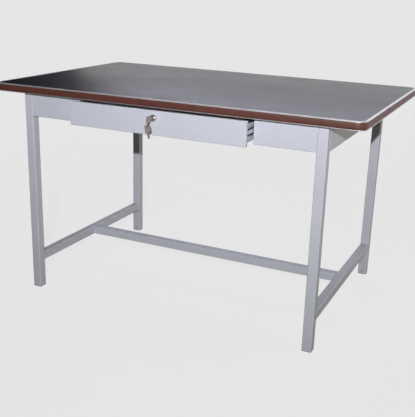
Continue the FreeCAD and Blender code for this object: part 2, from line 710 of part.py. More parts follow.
def flat_key():
    """Flat key about the middle of its ring hole: bow at the near end, blade along +Y."""
    half = KEY_THICKNESS / 2
    end = -KEY_HOLE_INSET
    shoulder = end + KEY_BOW_LENGTH
    tip = shoulder + KEY_BLADE_LENGTH
    middle = end + KEY_BOW_LENGTH / 2
    outline = rounded_outline(
        KEY_BOW_LENGTH / 2, KEY_BOW_WIDTH / 2, KEY_BOW_RADIUS, lambda a, b: vec(-half, middle + a, b)
    )
    bow = Part.Face(outline).extrude(vec(KEY_THICKNESS, 0, 0))
    edge = KEY_BLADE_WIDTH / 2
    blade_outline = Part.makePolygon(
        [
            vec(-half, middle, -edge),
            vec(-half, tip - KEY_TIP_CHAMFER, -edge),
            vec(-half, tip, 0),
            vec(-half, tip - KEY_TIP_CHAMFER, edge),
            vec(-half, middle, edge),
            vec(-half, middle, -edge),
        ]
    )
    blade = Part.Face(blade_outline).extrude(vec(KEY_THICKNESS, 0, 0))
    for place, depth in KEY_CUTS:
        reach = depth * KEY_CUT_SLOPE
        y = shoulder + place
        notch = Part.makePolygon(
            [
                vec(-half, y - reach, -edge),
                vec(-half, y, depth - edge),
                vec(-half, y + reach, -edge),
                vec(-half, y - reach, -edge),
            ]
        )
        blade = blade.cut(Part.Face(notch).extrude(vec(KEY_THICKNESS, 0, 0)))
    groove_high = KEY_GROOVE_LOW + KEY_GROOVE_WIDTH
    groove = box(half - KEY_GROOVE_DEPTH, half, shoulder, tip, KEY_GROOVE_LOW, groove_high)
    key = bow.fuse(blade).cut(groove)
    return drilled(key, KEY_HOLE_RADIUS, [vec(-half, 0, 0)], X_AXIS, KEY_THICKNESS).removeSplitter()


def key_in_lock():
    key = flat_key()
    key.translate(vec(0, KEY_HOLE_Y, LOCK_HEIGHT))
    return key


def key_ring():
    """Wire ring that hangs from the key's hole, its plane turned towards one front corner."""
    profile = []
    for index in range(RING_WIRE_SIDES):
        angle = 2 * math.pi * (index + 0.5) / RING_WIRE_SIDES
        radius = RING_RADIUS + RING_WIRE_RADIUS * math.cos(angle)
        profile.append((radius, RING_WIRE_RADIUS * math.sin(angle)))
    ring = faceted_turning(profile, RING_SIDES, True)
    across = FreeCAD.Rotation(Z_AXIS, RING_TURN).multVec(Y_AXIS)
    centre = vec(0, KEY_HOLE_Y, RING_TOP - RING_RADIUS)
    ring.Placement = FreeCAD.Placement(centre, FreeCAD.Rotation(Z_AXIS, across))
    return ring


def spare_key():
    """Second key, hanging blade down from the bottom of the ring, its blade a little to one side."""
    key = flat_key()
    key.rotate(vec(0, 0, 0), X_AXIS, -90)
    key.rotate(vec(0, 0, 0), Z_AXIS, SPARE_TURN)
    key.translate(vec(0, KEY_HOLE_Y, SPARE_HOLE_HEIGHT))
    wire = FreeCAD.Rotation(Z_AXIS, RING_TURN).multVec(X_AXIS)
    key.rotate(vec(0, KEY_HOLE_Y, RING_BOTTOM), wire, SPARE_LEAN)
    return key


def build_top():
    save("top_board", plate(TRIM_BOARD_INSET, BOARD_BOTTOM, BOARD_TOP))
    save("top_mat", plate(TRIM_LIP_WIDTH, BOARD_TOP, TABLE_HEIGHT))
    save("edge_trim", edge_trim())
    save("edge_insert", edge_strip())


def build_frame():
    for row, y_sign in (("front", -1.0), ("rear", 1.0)):
        for side, x_sign in SIDES:
            save("leg_" + row + "_" + side, leg(x_sign, y_sign))
            save("foot_" + row + "_" + side, foot(x_sign * LEG_X, y_sign * LEG_Y))
    for side, sign in SIDES:
        start = vec(sign * LEG_X, -INSIDE_LEGS_Y, STRETCHER_HEIGHT)
        save("stretcher_" + side, square_tube(STRETCHER_SIZE, start, Y_AXIS, 2 * INSIDE_LEGS_Y))
        save("apron_" + side, side_apron(sign))
        save("apron_front_" + side, front_apron(sign))
    start = vec(-INSIDE_STRETCHERS_X, 0, STRETCHER_HEIGHT)
    save("stretcher_centre", square_tube(STRETCHER_SIZE, start, X_AXIS, 2 * INSIDE_STRETCHERS_X))
    save("apron_rear", cross_apron(1, -INSIDE_LEGS_X, INSIDE_LEGS_X))
    save("lock_keeper", lock_keeper())


def build_slides():
    middle_travel = DRAWER_OPEN * MIDDLE_SHARE
    outer_cage_travel = DRAWER_OPEN * OUTER_CAGE_SHARE
    inner_cage_travel = DRAWER_OPEN * INNER_CAGE_SHARE
    for side, sign in SIDES:
        save("carrier_" + side, carrier(sign))
        save("slide_outer_" + side, slide_member(sign, OUTER_LIMB))
        save("slide_middle_" + side, slide_member(sign, MIDDLE_LIMB), middle_travel)
        save("slide_inner_" + side, slide_member(sign, INNER_LIMB), DRAWER_OPEN)
        cage = ball_cage(sign, OUTER_BALL, OUTER_CAGE_TIP, OUTER_CAGE_WEB)
        save("outer_cage_" + side, cage, outer_cage_travel)
        save("outer_balls_" + side, balls(sign, OUTER_BALL), outer_cage_travel)
        cage = ball_cage(sign, INNER_BALL, INNER_CAGE_TIP, INNER_CAGE_WEB)
        save("inner_cage_" + side, cage, inner_cage_travel)
        save("inner_balls_" + side, balls(sign, INNER_BALL), inner_cage_travel)


def build_drawer():
    pieces = {
        "drawer_front": drawer_front(),
        "drawer_liner": drawer_liner(),
        "drawer_tray": drawer_tray(),
        "drawer_back": drawer_back(),
        "lock_housing": lock_housing(),
        "lock_nut": lock_nut(),
        "lock_plug": lock_plug(),
        "lock_cam": lock_cam(),
        "cam_screw": cam_screw(),
        "key": key_in_lock(),
        "key_ring": key_ring(),
        "spare_key": spare_key(),
    }
    for name, shape in pieces.items():
        save(name, shape, DRAWER_OPEN)


os.makedirs("parts", exist_ok=True)
build_top()
build_frame()
build_slides()
build_drawer()
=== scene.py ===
import math
from types import SimpleNamespace
from typing import NamedTuple

import bmesh
import bpy
from bpy.props import FloatProperty, FloatVectorProperty, IntProperty, PointerProperty
from mathutils import Matrix, Vector


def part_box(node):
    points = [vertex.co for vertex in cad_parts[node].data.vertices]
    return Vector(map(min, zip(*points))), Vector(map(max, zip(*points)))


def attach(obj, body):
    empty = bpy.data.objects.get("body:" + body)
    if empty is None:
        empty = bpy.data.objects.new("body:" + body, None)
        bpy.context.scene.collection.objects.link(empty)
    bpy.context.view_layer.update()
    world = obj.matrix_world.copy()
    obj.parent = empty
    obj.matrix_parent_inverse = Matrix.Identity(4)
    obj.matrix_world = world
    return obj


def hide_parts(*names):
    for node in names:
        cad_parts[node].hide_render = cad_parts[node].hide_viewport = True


bl_info = {
    "name": "Work Table",
    "version": (1, 0, 0),
    "blender": (4, 5, 0),
    "location": "3D View > Sidebar > Work Table",
    "description": "Finishes, small pieces and studio for a steel work table with a drawer",
    "category": "Object",
}

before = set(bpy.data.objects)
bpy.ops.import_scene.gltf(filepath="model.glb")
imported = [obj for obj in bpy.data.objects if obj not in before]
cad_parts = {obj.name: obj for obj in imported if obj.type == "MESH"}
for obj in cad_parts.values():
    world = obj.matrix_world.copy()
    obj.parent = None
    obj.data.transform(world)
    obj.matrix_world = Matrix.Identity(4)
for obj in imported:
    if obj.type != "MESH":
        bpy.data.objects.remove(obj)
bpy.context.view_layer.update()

MM = 0.001
SIDES = (("left", -1.0), ("right", 1.0))
AXES = [Vector(row) for row in Matrix.Identity(3)]
UP = AXES[2]
QUARTER = math.radians(90.0)
SHARP_EDGE = math.radians(35.0)
BEVELLED_EDGE = math.radians(40.0)


def node_box(name):
    """Lowest and highest corner of a packed solid, in millimetres."""
    low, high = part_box(name)
    return low / MM, high / MM


def middle_of(name):
    """Middle of a packed solid, in millimetres."""
    low, high = node_box(name)
    return (low + high) / 2


# Sizes and colours that the user may change

def length(name, description, default):
    """Property for a length, given in millimetres."""
    return FloatProperty(
        name=name, description=description, default=default * MM, min=0.0, unit="LENGTH"
    )


def turn(name, description, default):
    """Property for an angle, given in degrees."""
    return FloatProperty(
        name=name, description=description, default=math.radians(default), subtype="ANGLE"
    )


def amount(name, description, default, subtype="NONE"):
    """Property for a number that is never negative."""
    return FloatProperty(
        name=name, description=description, default=default, min=0.0, subtype=subtype
    )


def tint(name, description, default):
    """Property for a colour."""
    return FloatVectorProperty(
        name=name, description=description, default=default, size=3, min=0.0, max=1.0, subtype="COLOR"
    )


class TopSizes(bpy.types.PropertyGroup):
    """Sizes of the mat, the trim and the strip round the top"""

    lip_width: length("Lip width", "How far the trim reaches over the mat", 8.0)
    lip_face: length("Lip face", "Height of the trim above the strip", 3.5)
    lip_rounding: length("Lip rounding", "Radius of the trim's outer upper edge", 1.6)
    foot_face: length("Foot face", "Height of the trim below the strip", 2.4)
    foot_width: length("Foot width", "How far the trim reaches under the board", 6.0)
    groove_depth: length("Groove depth", "Depth of the groove that holds the strip", 2.5)
    board_inset: length("Board inset", "Distance of the board from the outer face", 4.0)
    strip_crown: length("Strip crown", "How far the strip swells at its middle", 1.3)
    strip_setback: length("Strip setback", "Distance of the strip's crown from the outer face", 0.3)
    seam: length("Seam", "Gap between an inlaid piece and the trim", 0.25)
    joint: length("Joint", "Gap where the ends of the trim meet at the rear", 0.5)
    corner_steps: IntProperty(name="Corner steps", description="Faces round a corner", default=20, min=4)


class SteelworkSizes(bpy.types.PropertyGroup):
    """Sizes of the welds, the small fasteners and the slide members"""

    bead: length("Bead", "Leg of a weld bead in a corner", 2.6)
    seam_height: length("Seam height", "Rise of a weld that fills a groove between flush faces", 0.25)
    ripple_pitch: length("Ripple pitch", "Distance between the ripples of a weld", 1.7)
    ripple: amount("Ripple", "Depth of the ripples", 0.12, "FACTOR")
    screw_radius: length("Screw radius", "Radius of a pan head", 4.2)
    screw_height: length("Screw height", "Height of a pan head", 2.5)
    rivet_radius: length("Rivet radius", "Radius of a rivet's head", 3.6)
    rivet_height: length("Rivet height", "Height of a rivet's head", 1.5)
    slide_bend: length("Slide bend", "Bend radius of the rolled slide members", 0.75)
    slide_sheet: length("Slide sheet", "Thickness of the rolled slide members", 1.0)


class LockSizes(bpy.types.PropertyGroup):
    """Sizes of the lock, the keys and their ring"""

    key_thickness: length("Key thickness", "Thickness of a key", 2.0)
    key_bow: length("Key bow", "Length of a key's bow", 24.0)
    key_bow_width: length("Bow width", "Width of a key's bow", 21.0)
    key_blade: length("Key blade", "Length of a key's blade", 20.0)
    key_blade_width: length("Blade width", "Width of a key's blade", 7.4)
    key_hole: length("Key hole", "Radius of the hole for the ring", 3.25)
    key_hole_inset: length("Hole inset", "Distance of the hole's middle from the bow's end", 6.25)
    key_edge: length("Key edge", "Rounding of a key's edges", 0.3)
    spare_drop: length("Spare drop", "Hole of the hanging key below the wire's middle", 1.5)
    spare_turn: turn("Spare turn", "Twist of the hanging key", -88.0)
    spare_lean: turn("Spare lean", "Swing of the hanging key", 8.0)
    ring_radius: length("Ring radius", "Radius of the split ring's middle", 9.5)
    ring_wire: length("Ring wire", "Width of the split ring's wire", 1.5)
    ring_coil: length("Ring coil", "Thickness of one coil of the split ring", 0.8)
    bore: length("Bore", "Radius of the hole that the plug turns in", 6.6)
    thread_pitch: length("Thread pitch", "Distance between the threads of the lock's body", 1.0)


class Finishes(bpy.types.PropertyGroup):
    """Colours of the table's finishes"""

    paint: tint("Paint", "Cool grey powder coat of the frame and the drawer", (0.57, 0.59, 0.675))
    mat: tint("Mat", "Dark hard mat on the top", (0.075, 0.075, 0.082))
    strip: tint("Strip", "Red-brown strip in the edge", (0.097, 0.026, 0.018))
    trim: tint("Trim", "Satin metal round the edge", (0.73, 0.73, 0.74))
    board: tint("Board", "Chipboard seen from below", (0.36, 0.26, 0.16))
    foot: tint("Foot", "Plastic of the feet", (0.25, 0.25, 0.26))
    zinc: tint("Zinc", "Zinc plate of the slides and brackets", (0.60, 0.61, 0.63))
    cage: tint("Cage", "Rolled steel of the ball cages", (0.46, 0.44, 0.40))
    bearing: tint("Bearing", "Polished steel of the balls", (0.72, 0.72, 0.73))
    chrome: tint("Chrome", "Plated lock", (0.56, 0.56, 0.58))
    fittings: tint("Fittings", "Bright screws, nut and cam", (0.63, 0.63, 0.64))
    wire: tint("Wire", "Steel of the split ring", (0.42, 0.41, 0.40))
    key: tint("Key", "Nickel of the keys", (0.36, 0.325, 0.29))
    brass: tint("Brass", "Metal under the worn nickel", (0.45, 0.34, 0.20))


class Studio(bpy.types.PropertyGroup):
    """Camera, lamps and backdrop"""

    camera_place: FloatVectorProperty(
        name="Camera place",
        description="Where the camera stands, from the floor under the middle of the top",
        default=(1.08337, -2.35115, 1.11659),
        subtype="TRANSLATION",
        unit="LENGTH",
    )
    yaw: turn("Yaw", "Turn to the left", 24.88)
    pitch: turn("Pitch", "Tilt downwards", 17.81)
    roll: turn("Roll", "Turn about the line of sight", 1.7)
    lens: amount("Lens", "Focal length in millimetres", 62.16, "DISTANCE_CAMERA")
    backdrop: tint("Backdrop", "Pale grey behind the table", (0.791, 0.791, 0.791))
    fill: tint("Fill", "Colour of the light all round", (1.0, 0.92, 0.78))
    brightness: amount("Brightness", "Factor on the lamps' power", 1.0)
    ambient: amount("Ambient", "Strength of the light all round", 0.01)


def settings(name):
    """One of the scene's property groups."""
    return getattr(bpy.context.scene, "work_table_" + name)


def sizes_of(name):
    """Values of one of the scene's property groups, with lengths in millimetres."""
    group = settings(name)
    values = {}
    for key in GROUPS[name].__annotations__:
        value = getattr(group, key)
        values[key] = value / MM if group.bl_rna.properties[key].unit == "LENGTH" else value
    return SimpleNamespace(**values)


# Mesh building, in millimetres

def shares(steps):
    """Even steps from 0 to 1, with both ends."""
    return [step / steps for step in range(steps + 1)]


def round_angles(steps):
    """Angles of a full turn in even steps."""
    return [2 * math.pi * step / steps for step in range(steps)]


def rounded_line(points, radius, steps):
    """Open 2-D line with each inner corner rounded, and the left normal at every point."""
    flat = [Vector(point) for point in points]
    ways = [(b - a).normalized() for a, b in zip(flat, flat[1:])]
    normals = [Vector((-way.y, way.x)) for way in ways]
    line = [(flat[0], normals[0])]
    for index, corner in enumerate(flat[1:-1]):
        before, after = normals[index], normals[index + 1]
        bend = ways[index].angle_signed(ways[index + 1])
        side = -math.copysign(1.0, bend)
        back = radius * math.tan(abs(bend) / 2)
        centre = corner - ways[index] * back + before * radius * side
        for share in shares(steps):
            normal = before.lerp(after, share).normalized()
            line.append((centre - normal * radius * side, normal))
    line.append((flat[-1], normals[-1]))
    return line


def rounded_loop(corners, steps):
    """Closed 2-D outline; each corner holds its place and its own radius."""
    outline = []
    count = len(corners)
    for index, (a, b, radius) in enumerate(corners):
        corner = Vector((a, b))
        before = (Vector(corners[index - 1][:2]) - corner).normalized()
        after = (Vector(corners[(index + 1) % count][:2]) - corner).normalized()
        half = before.angle(after) / 2
        back = radius / math.tan(half)
        centre = corner + (before + after).normalized() * (radius / math.sin(half))
        start = corner + before * back - centre
        end = corner + after * back - centre
        for share in shares(steps):
            outline.append(tuple(centre + start.lerp(end, share).normalized() * radius))
    return outline


def loft(rings, round_trip=False):
    """Points and faces of a skin through closed rings, with its ends filled unless it meets itself."""
    count = len(rings[0])
    points = [point for ring in rings for point in ring]
    faces = []
    for index in range(len(rings) if round_trip else len(rings) - 1):
        here = index * count
        there = (index + 1) % len(rings) * count
        for k in range(count):
            n = (k + 1) % count
            faces.append((here + k, here + n, there + n, there + k))
    if not round_trip:
        last = (len(rings) - 1) * count
        faces.append(tuple(range(count))[::-1])
        faces.append(tuple(range(last, last + count)))
    return points, faces


def joined(parts):
    """Several skins as one."""
    points, faces = [], []
    for part_points, part_faces in parts:
        start = len(points)
        points += part_points
        faces += [tuple(start + index for index in face) for face in part_faces]
    return points, faces


def placed(skin, matrix):
    """A skin moved by a matrix."""
    points, faces = skin
    return [matrix @ Vector(point) for point in points], faces


def turned(profile, steps):
    """Skin turned about Z from an open profile of radius and height pairs."""
    angles = round_angles(steps)
    rings = []
    for radius, height in profile:
        rings.append([Vector((radius * math.cos(a), radius * math.sin(a), height)) for a in angles])
    return loft(rings)


def mesh_from(name, skin):
    """Blender mesh from a skin, its faces outwards, smooth where they meet gently."""
    points, faces = skin
    mesh = bpy.data.meshes.new(name)
    mesh.from_pydata([Vector(point) * MM for point in points], [], faces)
    shell = bmesh.new()
    shell.from_mesh(mesh)
    bmesh.ops.recalc_face_normals(shell, faces=shell.faces)
    shell.to_mesh(mesh)
    shell.free()
    mesh.shade_smooth()
    mesh.set_sharp_from_angle(angle=SHARP_EDGE)
    return mesh


def add_object(name, data):
    """New object in the scene."""
    obj = bpy.data.objects.new(name, data)
    bpy.context.scene.collection.objects.link(obj)
    return obj


def cut(base, cutters):
    """A skin less the cutter skins."""
    body, *tools = [add_object("cut", mesh_from("cut", skin)) for skin in (base, *cutters)]
    for tool in tools:
        modifier = body.modifiers.new("Cut", "BOOLEAN")
        modifier.operation = "DIFFERENCE"
        modifier.solver = "EXACT"
        modifier.object = tool
    bpy.context.view_layer.update()
    mesh = body.evaluated_get(bpy.context.evaluated_depsgraph_get()).to_mesh()
    points = [vertex.co / MM for vertex in mesh.vertices]
    faces = [tuple(face.vertices) for face in mesh.polygons]
    for obj in (body, *tools):
        old = obj.data
        bpy.data.objects.remove(obj)
        bpy.data.meshes.remove(old)
    return points, faces


MADE = {}


def made_once(build):
    """What a function builds, kept from its first call."""
    if build not in MADE:
        MADE[build] = build()
    return MADE[build]


def add_piece(name, skin, build_finish, body, stands_for=()):
    """Object from a skin, with its finish, that moves with a body of the table."""
    mesh = mesh_from(name, skin)
    mesh.materials.append(made_once(build_finish))
    obj = add_object(name, mesh)
    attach(obj, body)
    if stands_for:
        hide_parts(*stands_for)
    return obj


def soften(obj, width):
    """Round the sharp edges of a piece."""
    bevel = obj.modifiers.new("Edges", "BEVEL")
    bevel.width = width * MM
    bevel.segments = 2
    bevel.limit_method = "ANGLE"
    bevel.angle_limit = BEVELLED_EDGE
    bevel.harden_normals = True


def dress(names, build_finish):
    """Give packed solids their finish."""
    for name in names:
        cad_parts[name].material_slots[0].material = made_once(build_finish)


# Shader nodes

class Tree:
    """Adds nodes to a node tree and joins them."""

    def __init__(self, tree):
        self.tree = tree

    def join(self, socket, target):
        self.tree.links.new(socket, target)

    def add(self, kind, inputs=None, **values):
        node = self.tree.nodes.new(kind)
        for key, value in values.items():
            setattr(node, key, value)
        for key, value in (inputs or {}).items():
            if isinstance(value, bpy.types.NodeSocket):
                self.join(value, node.inputs[key])
            else:
                node.inputs[key].default_value = value
        return node

    def math(self, operation, first, second=0.0):
        return self.add("ShaderNodeMath", {0: first, 1: second}, operation=operation).outputs[0]

    def vector(self, operation, inputs, output="Vector"):
        return self.add("ShaderNodeVectorMath", inputs, operation=operation).outputs[output]

    def spread(self, value, low, high, new_low=0.0, new_high=1.0):
        inputs = {"Value": value, "From Min": low, "From Max": high, "To Min": new_low, "To Max": new_high}
        return self.add("ShaderNodeMapRange", inputs).outputs["Result"]

    def blend(self, share, first, second):
        return self.add("ShaderNodeMix", {0: share, 6: first, 7: second}, data_type="RGBA").outputs[2]

    def place(self):
        return self.add("ShaderNodeTexCoord").outputs["Object"]

    def along(self, axis):
        return self.add("ShaderNodeSeparateXYZ", {0: self.place()}).outputs[axis]

    def noise(self, vector, scale, detail, roughness=0.5):
        inputs = {"Vector": vector, "Scale": scale, "Detail": detail, "Roughness": roughness}
        return self.add("ShaderNodeTexNoise", inputs).outputs

    def patches(self, size, detail, roughness=0.5):
        return self.noise(self.place(), self.math("DIVIDE", 1.0, size), detail, roughness)[0]

    def cells(self, vector, scale):
        """Distance from the middle of each scattered cell, and the cell's own random value."""
        cells = self.add("ShaderNodeTexVoronoi", {"Vector": vector, "Scale": scale}).outputs
        pick = self.add("ShaderNodeSeparateColor", {0: cells["Color"]}).outputs[0]
        return cells["Distance"], pick

    def group(self, build, **values):
        inputs = {key.capitalize(): value for key, value in values.items()}
        return self.add("ShaderNodeGroup", inputs, node_tree=made_once(build)).outputs


FLOAT = "NodeSocketFloat"
COLOUR = "NodeSocketColor"
VECTOR = "NodeSocketVector"


def new_effect(name, inputs, outputs):
    """Empty shader group with its sockets, and its tree, inputs and outputs."""
    group = bpy.data.node_groups.new(name, "ShaderNodeTree")
    for label, kind, default in inputs:
        socket = group.interface.new_socket(name=label, in_out="INPUT", socket_type=kind)
        socket.default_value = default
    for label, kind in outputs:
        group.interface.new_socket(name=label, in_out="OUTPUT", socket_type=kind)
    tree = Tree(group)
    return group, tree, tree.add("NodeGroupInput").outputs, tree.add("NodeGroupOutput").inputs


def clouded_colour():
    """A colour that is a little lighter and darker in soft patches."""
    inputs = [("Colour", COLOUR, (0.5, 0.5, 0.5, 1.0)), ("Patch", FLOAT, 0.05), ("Shift", FLOAT, 0.05)]
    group, tree, given, out = new_effect("Clouded colour", inputs, [("Colour", COLOUR), ("Tone", FLOAT)])
    tone = tree.spread(tree.patches(given["Patch"], 5.0, 0.6), 0.3, 0.7)
    swing = tree.math("MULTIPLY", tree.math("SUBTRACT", tone, 0.5), given["Shift"])
    level = tree.math("ADD", tree.math("MULTIPLY", swing, 2.0), 1.0)
    tree.join(tree.vector("SCALE", {0: given["Colour"], "Scale": level}), out["Colour"])
    tree.join(tone, out["Tone"])
    return group


def grain():
    """Height of a fine even grain."""
    inputs = [("Size", FLOAT, 0.001), ("Depth", FLOAT, 2.0)]
    group, tree, given, out = new_effect("Grain", inputs, [("Height", FLOAT)])
    tree.join(tree.patches(given["Size"], given["Depth"]), out["Height"])
    return group


def rubbed_edges():
    """Mask of the outer edges, broken up as wear is."""
    inputs = [("Reach", FLOAT, 0.001), ("Patch", FLOAT, 0.004)]
    group, tree, given, out = new_effect("Rubbed edges", inputs, [("Mask", FLOAT)])
    soft = tree.add("ShaderNodeBevel", {"Radius": given["Reach"]}, samples=6).outputs[0]
    plain = tree.add("ShaderNodeNewGeometry").outputs["Normal"]
    edge = tree.spread(tree.vector("DOT_PRODUCT", {0: soft, 1: plain}, "Value"), 0.99, 0.86)
    patches = tree.spread(tree.patches(given["Patch"], 4.0), 0.42, 0.62)
    tree.join(tree.math("MULTIPLY", edge, patches), out["Mask"])
    return group


def flecks():
    """Mask of small scattered marks with uneven outlines."""
    inputs = [("Spacing", FLOAT, 0.03), ("Width", FLOAT, 0.05), ("Share", FLOAT, 0.3)]
    group, tree, given, out = new_effect("Flecks", inputs, [("Mask", FLOAT)])
    place = tree.place()
    bends = tree.noise(place, 260.0, 2.0)["Color"]
    bent = tree.vector("ADD", {0: place, 1: tree.vector("SCALE", {0: bends, "Scale": 0.0012})})
    distance, pick = tree.cells(bent, tree.math("DIVIDE", 1.0, given["Spacing"]))
    near = tree.math("LESS_THAN", distance, given["Width"])
    chosen = tree.math("LESS_THAN", pick, given["Share"])
    tree.join(tree.math("MULTIPLY", near, chosen), out["Mask"])
    return group


def drawn_lines():
    """Height of fine lines along one way, as on drawn or brushed metal."""
    inputs = [("Stretch", VECTOR, (6.0, 900.0, 900.0))]
    group, tree, given, out = new_effect("Drawn lines", inputs, [("Height", FLOAT)])
    pulled = tree.vector("MULTIPLY", {0: tree.place(), 1: given["Stretch"]})
    tree.join(tree.noise(pulled, 1.0, 3.0)[0], out["Height"])
    return group


def rgba(name):
    """One of the finish colours as four numbers."""
    return (*getattr(settings("finishes"), name), 1.0)


class FinishTree(Tree):
    """Tree of a new material with a Principled shader, and the layers that finishes share."""

    def __init__(self, name, **values):
        self.material = bpy.data.materials.new(name)
        self.material.use_nodes = True
        super().__init__(self.material.node_tree)
        self.shader = self.tree.nodes["Principled BSDF"].inputs
        for key, value in values.items():
            self.shader[key.replace("_", " ")].default_value = value

    def clouds(self, colour, patch, shift):
        """Clouded colour of the finish, and its tone."""
        outputs = self.group(clouded_colour, colour=rgba(colour), patch=patch, shift=shift)
        return outputs["Colour"], outputs["Tone"]

    def flecked(self, colour, fleck, strength, **scatter):
        """A colour with small marks of another."""
        mask = self.math("MULTIPLY", self.group(flecks, **scatter)["Mask"], strength)
        return self.blend(mask, colour, fleck)

    def worn(self, colour, bare, strength, reach, patch):
        """A colour rubbed through to another at the edges."""
        edges = self.group(rubbed_edges, reach=reach, patch=patch)["Mask"]
        return self.blend(self.math("MULTIPLY", edges, strength), colour, bare)

    def lines(self, *stretch):
        return self.group(drawn_lines, stretch=stretch)["Height"]

    def grained(self, size, depth):
        return self.group(grain, size=size, depth=depth)["Height"]

    def finished(self, colour, rough, height, strength, distance):
        """Join the layers to the shader, the height as a bump, and give the material."""
        bump = {"Height": height, "Strength": strength, "Distance": distance}
        self.join(colour, self.shader["Base Color"])
        self.join(rough, self.shader["Roughness"])
        self.join(self.add("ShaderNodeBump", bump).outputs[0], self.shader["Normal"])
        return self.material


def grey_paint():
    """Smooth powder coat: faint orange peel, small marks and paler worn edges."""
    tree = FinishTree("grey_paint")
    coat, tone = tree.clouds("paint", patch=0.12, shift=0.025)
    scuff, bare = (0.33, 0.33, 0.33, 1.0), (0.74, 0.75, 0.79, 1.0)
    marked = tree.flecked(coat, scuff, 0.35, spacing=0.045, width=0.022, share=0.25)
    colour = tree.worn(marked, bare, 0.35, reach=0.0012, patch=0.006)
    rough = tree.spread(tone, 0.0, 1.0, 0.50, 0.60)
    return tree.finished(colour, rough, tree.grained(0.0022, 1.5), 0.12, 0.0004)


def hard_mat():
    """Dark hard mat: faint mottling, fine pebble grain and a dull sheen."""
    tree = FinishTree("hard_mat", IOR=1.5, Specular_Tint=(0.94, 0.94, 1.0, 1.0))
    clouds, tone = tree.clouds("mat", patch=0.09, shift=0.16)
    pale = (0.13, 0.13, 0.14, 1.0)
    colour = tree.flecked(clouds, pale, 0.3, spacing=0.03, width=0.03, share=0.35)
    rough = tree.spread(tone, 0.0, 1.0, 0.33, 0.41)
    return tree.finished(colour, rough, tree.grained(0.0011, 2.0), 0.22, 0.0003)


def brown_strip():
    """Red-brown vinyl with a soft mottled tone and rubbed high spots."""
    tree = FinishTree("brown_strip", IOR=1.65)
    clouds, tone = tree.clouds("strip", patch=0.022, shift=0.14)
    colour = tree.worn(clouds, (0.26, 0.13, 0.11, 1.0), 0.3, reach=0.0016, patch=0.005)
    rough = tree.spread(tone, 0.0, 1.0, 0.46, 0.56)
    return tree.finished(colour, rough, tree.grained(0.0012, 3.0), 0.2, 0.0003)


def drawn_metal(name, colour, stretch, low, high, patch, shift=0.06, strength=0.1, metallic=1.0):
    """Bare metal with drawn lines, a clouded tone and a roughness that follows both."""
    tree = FinishTree(name, Metallic=metallic)
    clouds, tone = tree.clouds(colour, patch, shift)
    lines = tree.lines(*stretch)
    mixed = tree.math("ADD", tree.math("MULTIPLY", lines, 0.6), tree.math("MULTIPLY", tone, 0.4))
    rough = tree.spread(mixed, 0.25, 0.75, low, high)
    return tree.finished(clouds, rough, lines, strength, 0.0002)


TRIM_TURN = (22.0, 10.0)


def satin_trim():
    """Satin metal drawn along each side of the top; the lines change over near the ends."""
    tree = FinishTree("satin_trim", Metallic=1.0)
    clouds, _ = tree.clouds("trim", patch=0.05, shift=0.05)
    across = tree.lines(5.0, 1100.0, 1100.0)
    down = tree.lines(1100.0, 5.0, 1100.0)
    end = node_box("edge_trim")[1].x
    start, stop = [(end - inset) * MM for inset in TRIM_TURN]
    on_side = tree.spread(tree.math("ABSOLUTE", tree.along("X")), start, stop)
    lines = tree.add("ShaderNodeMix", {0: on_side, 2: across, 3: down}, data_type="FLOAT").outputs[0]
    colour = tree.worn(clouds, (0.80, 0.80, 0.81, 1.0), 0.5, reach=0.0008, patch=0.004)
    rough = tree.spread(lines, 0.25, 0.75, 0.50, 0.61)
    return tree.finished(colour, rough, lines, 0.1, 0.0002)


def chipboard():
    """Pressed wood chips, darker and lighter flakes lying every way."""
    tree = FinishTree("chipboard")
    distance, pick = tree.cells(tree.place(), 210.0)
    clouds, _ = tree.clouds("board", patch=0.03, shift=0.12)
    light = tree.blend(tree.math("MULTIPLY", pick, 0.5), clouds, (0.55, 0.43, 0.29, 1.0))
    colour = tree.blend(tree.spread(distance, 0.25, 0.7, 0.0, 0.45), light, (0.15, 0.10, 0.06, 1.0))
    rough = tree.spread(pick, 0.0, 1.0, 0.66, 0.85)
    return tree.finished(colour, rough, distance, 0.3, 0.0006)


HOLE_SHADE_START = (3.0, 5.0)


def moulded_foot():
    """Grey moulded plastic, scuffed paler at the rim, with its stem painted near black as the shade inside
    the leg that the drain hole shows.
    """
    tree = FinishTree("moulded_foot")
    clouds, tone = tree.clouds("foot", patch=0.01, shift=0.2)
    rim = tree.worn(clouds, (0.38, 0.38, 0.38, 1.0), 0.5, reach=0.001, patch=0.003)
    # Painted shade: above the flange the stem is painted near black, standing in for the dark inside of
    # the leg behind its drain hole.
    hole_shade = tree.spread(tree.along("Z"), *[height * MM for height in HOLE_SHADE_START])
    colour = tree.blend(hole_shade, rim, (0.012, 0.011, 0.010, 1.0))
    rough = tree.spread(tone, 0.0, 1.0, 0.5, 0.64)
    return tree.finished(colour, rough, tree.grained(0.0007, 3.0), 0.25, 0.0003)


TRACK_EDGE = 6.0
TRACK_FADE = 0.6


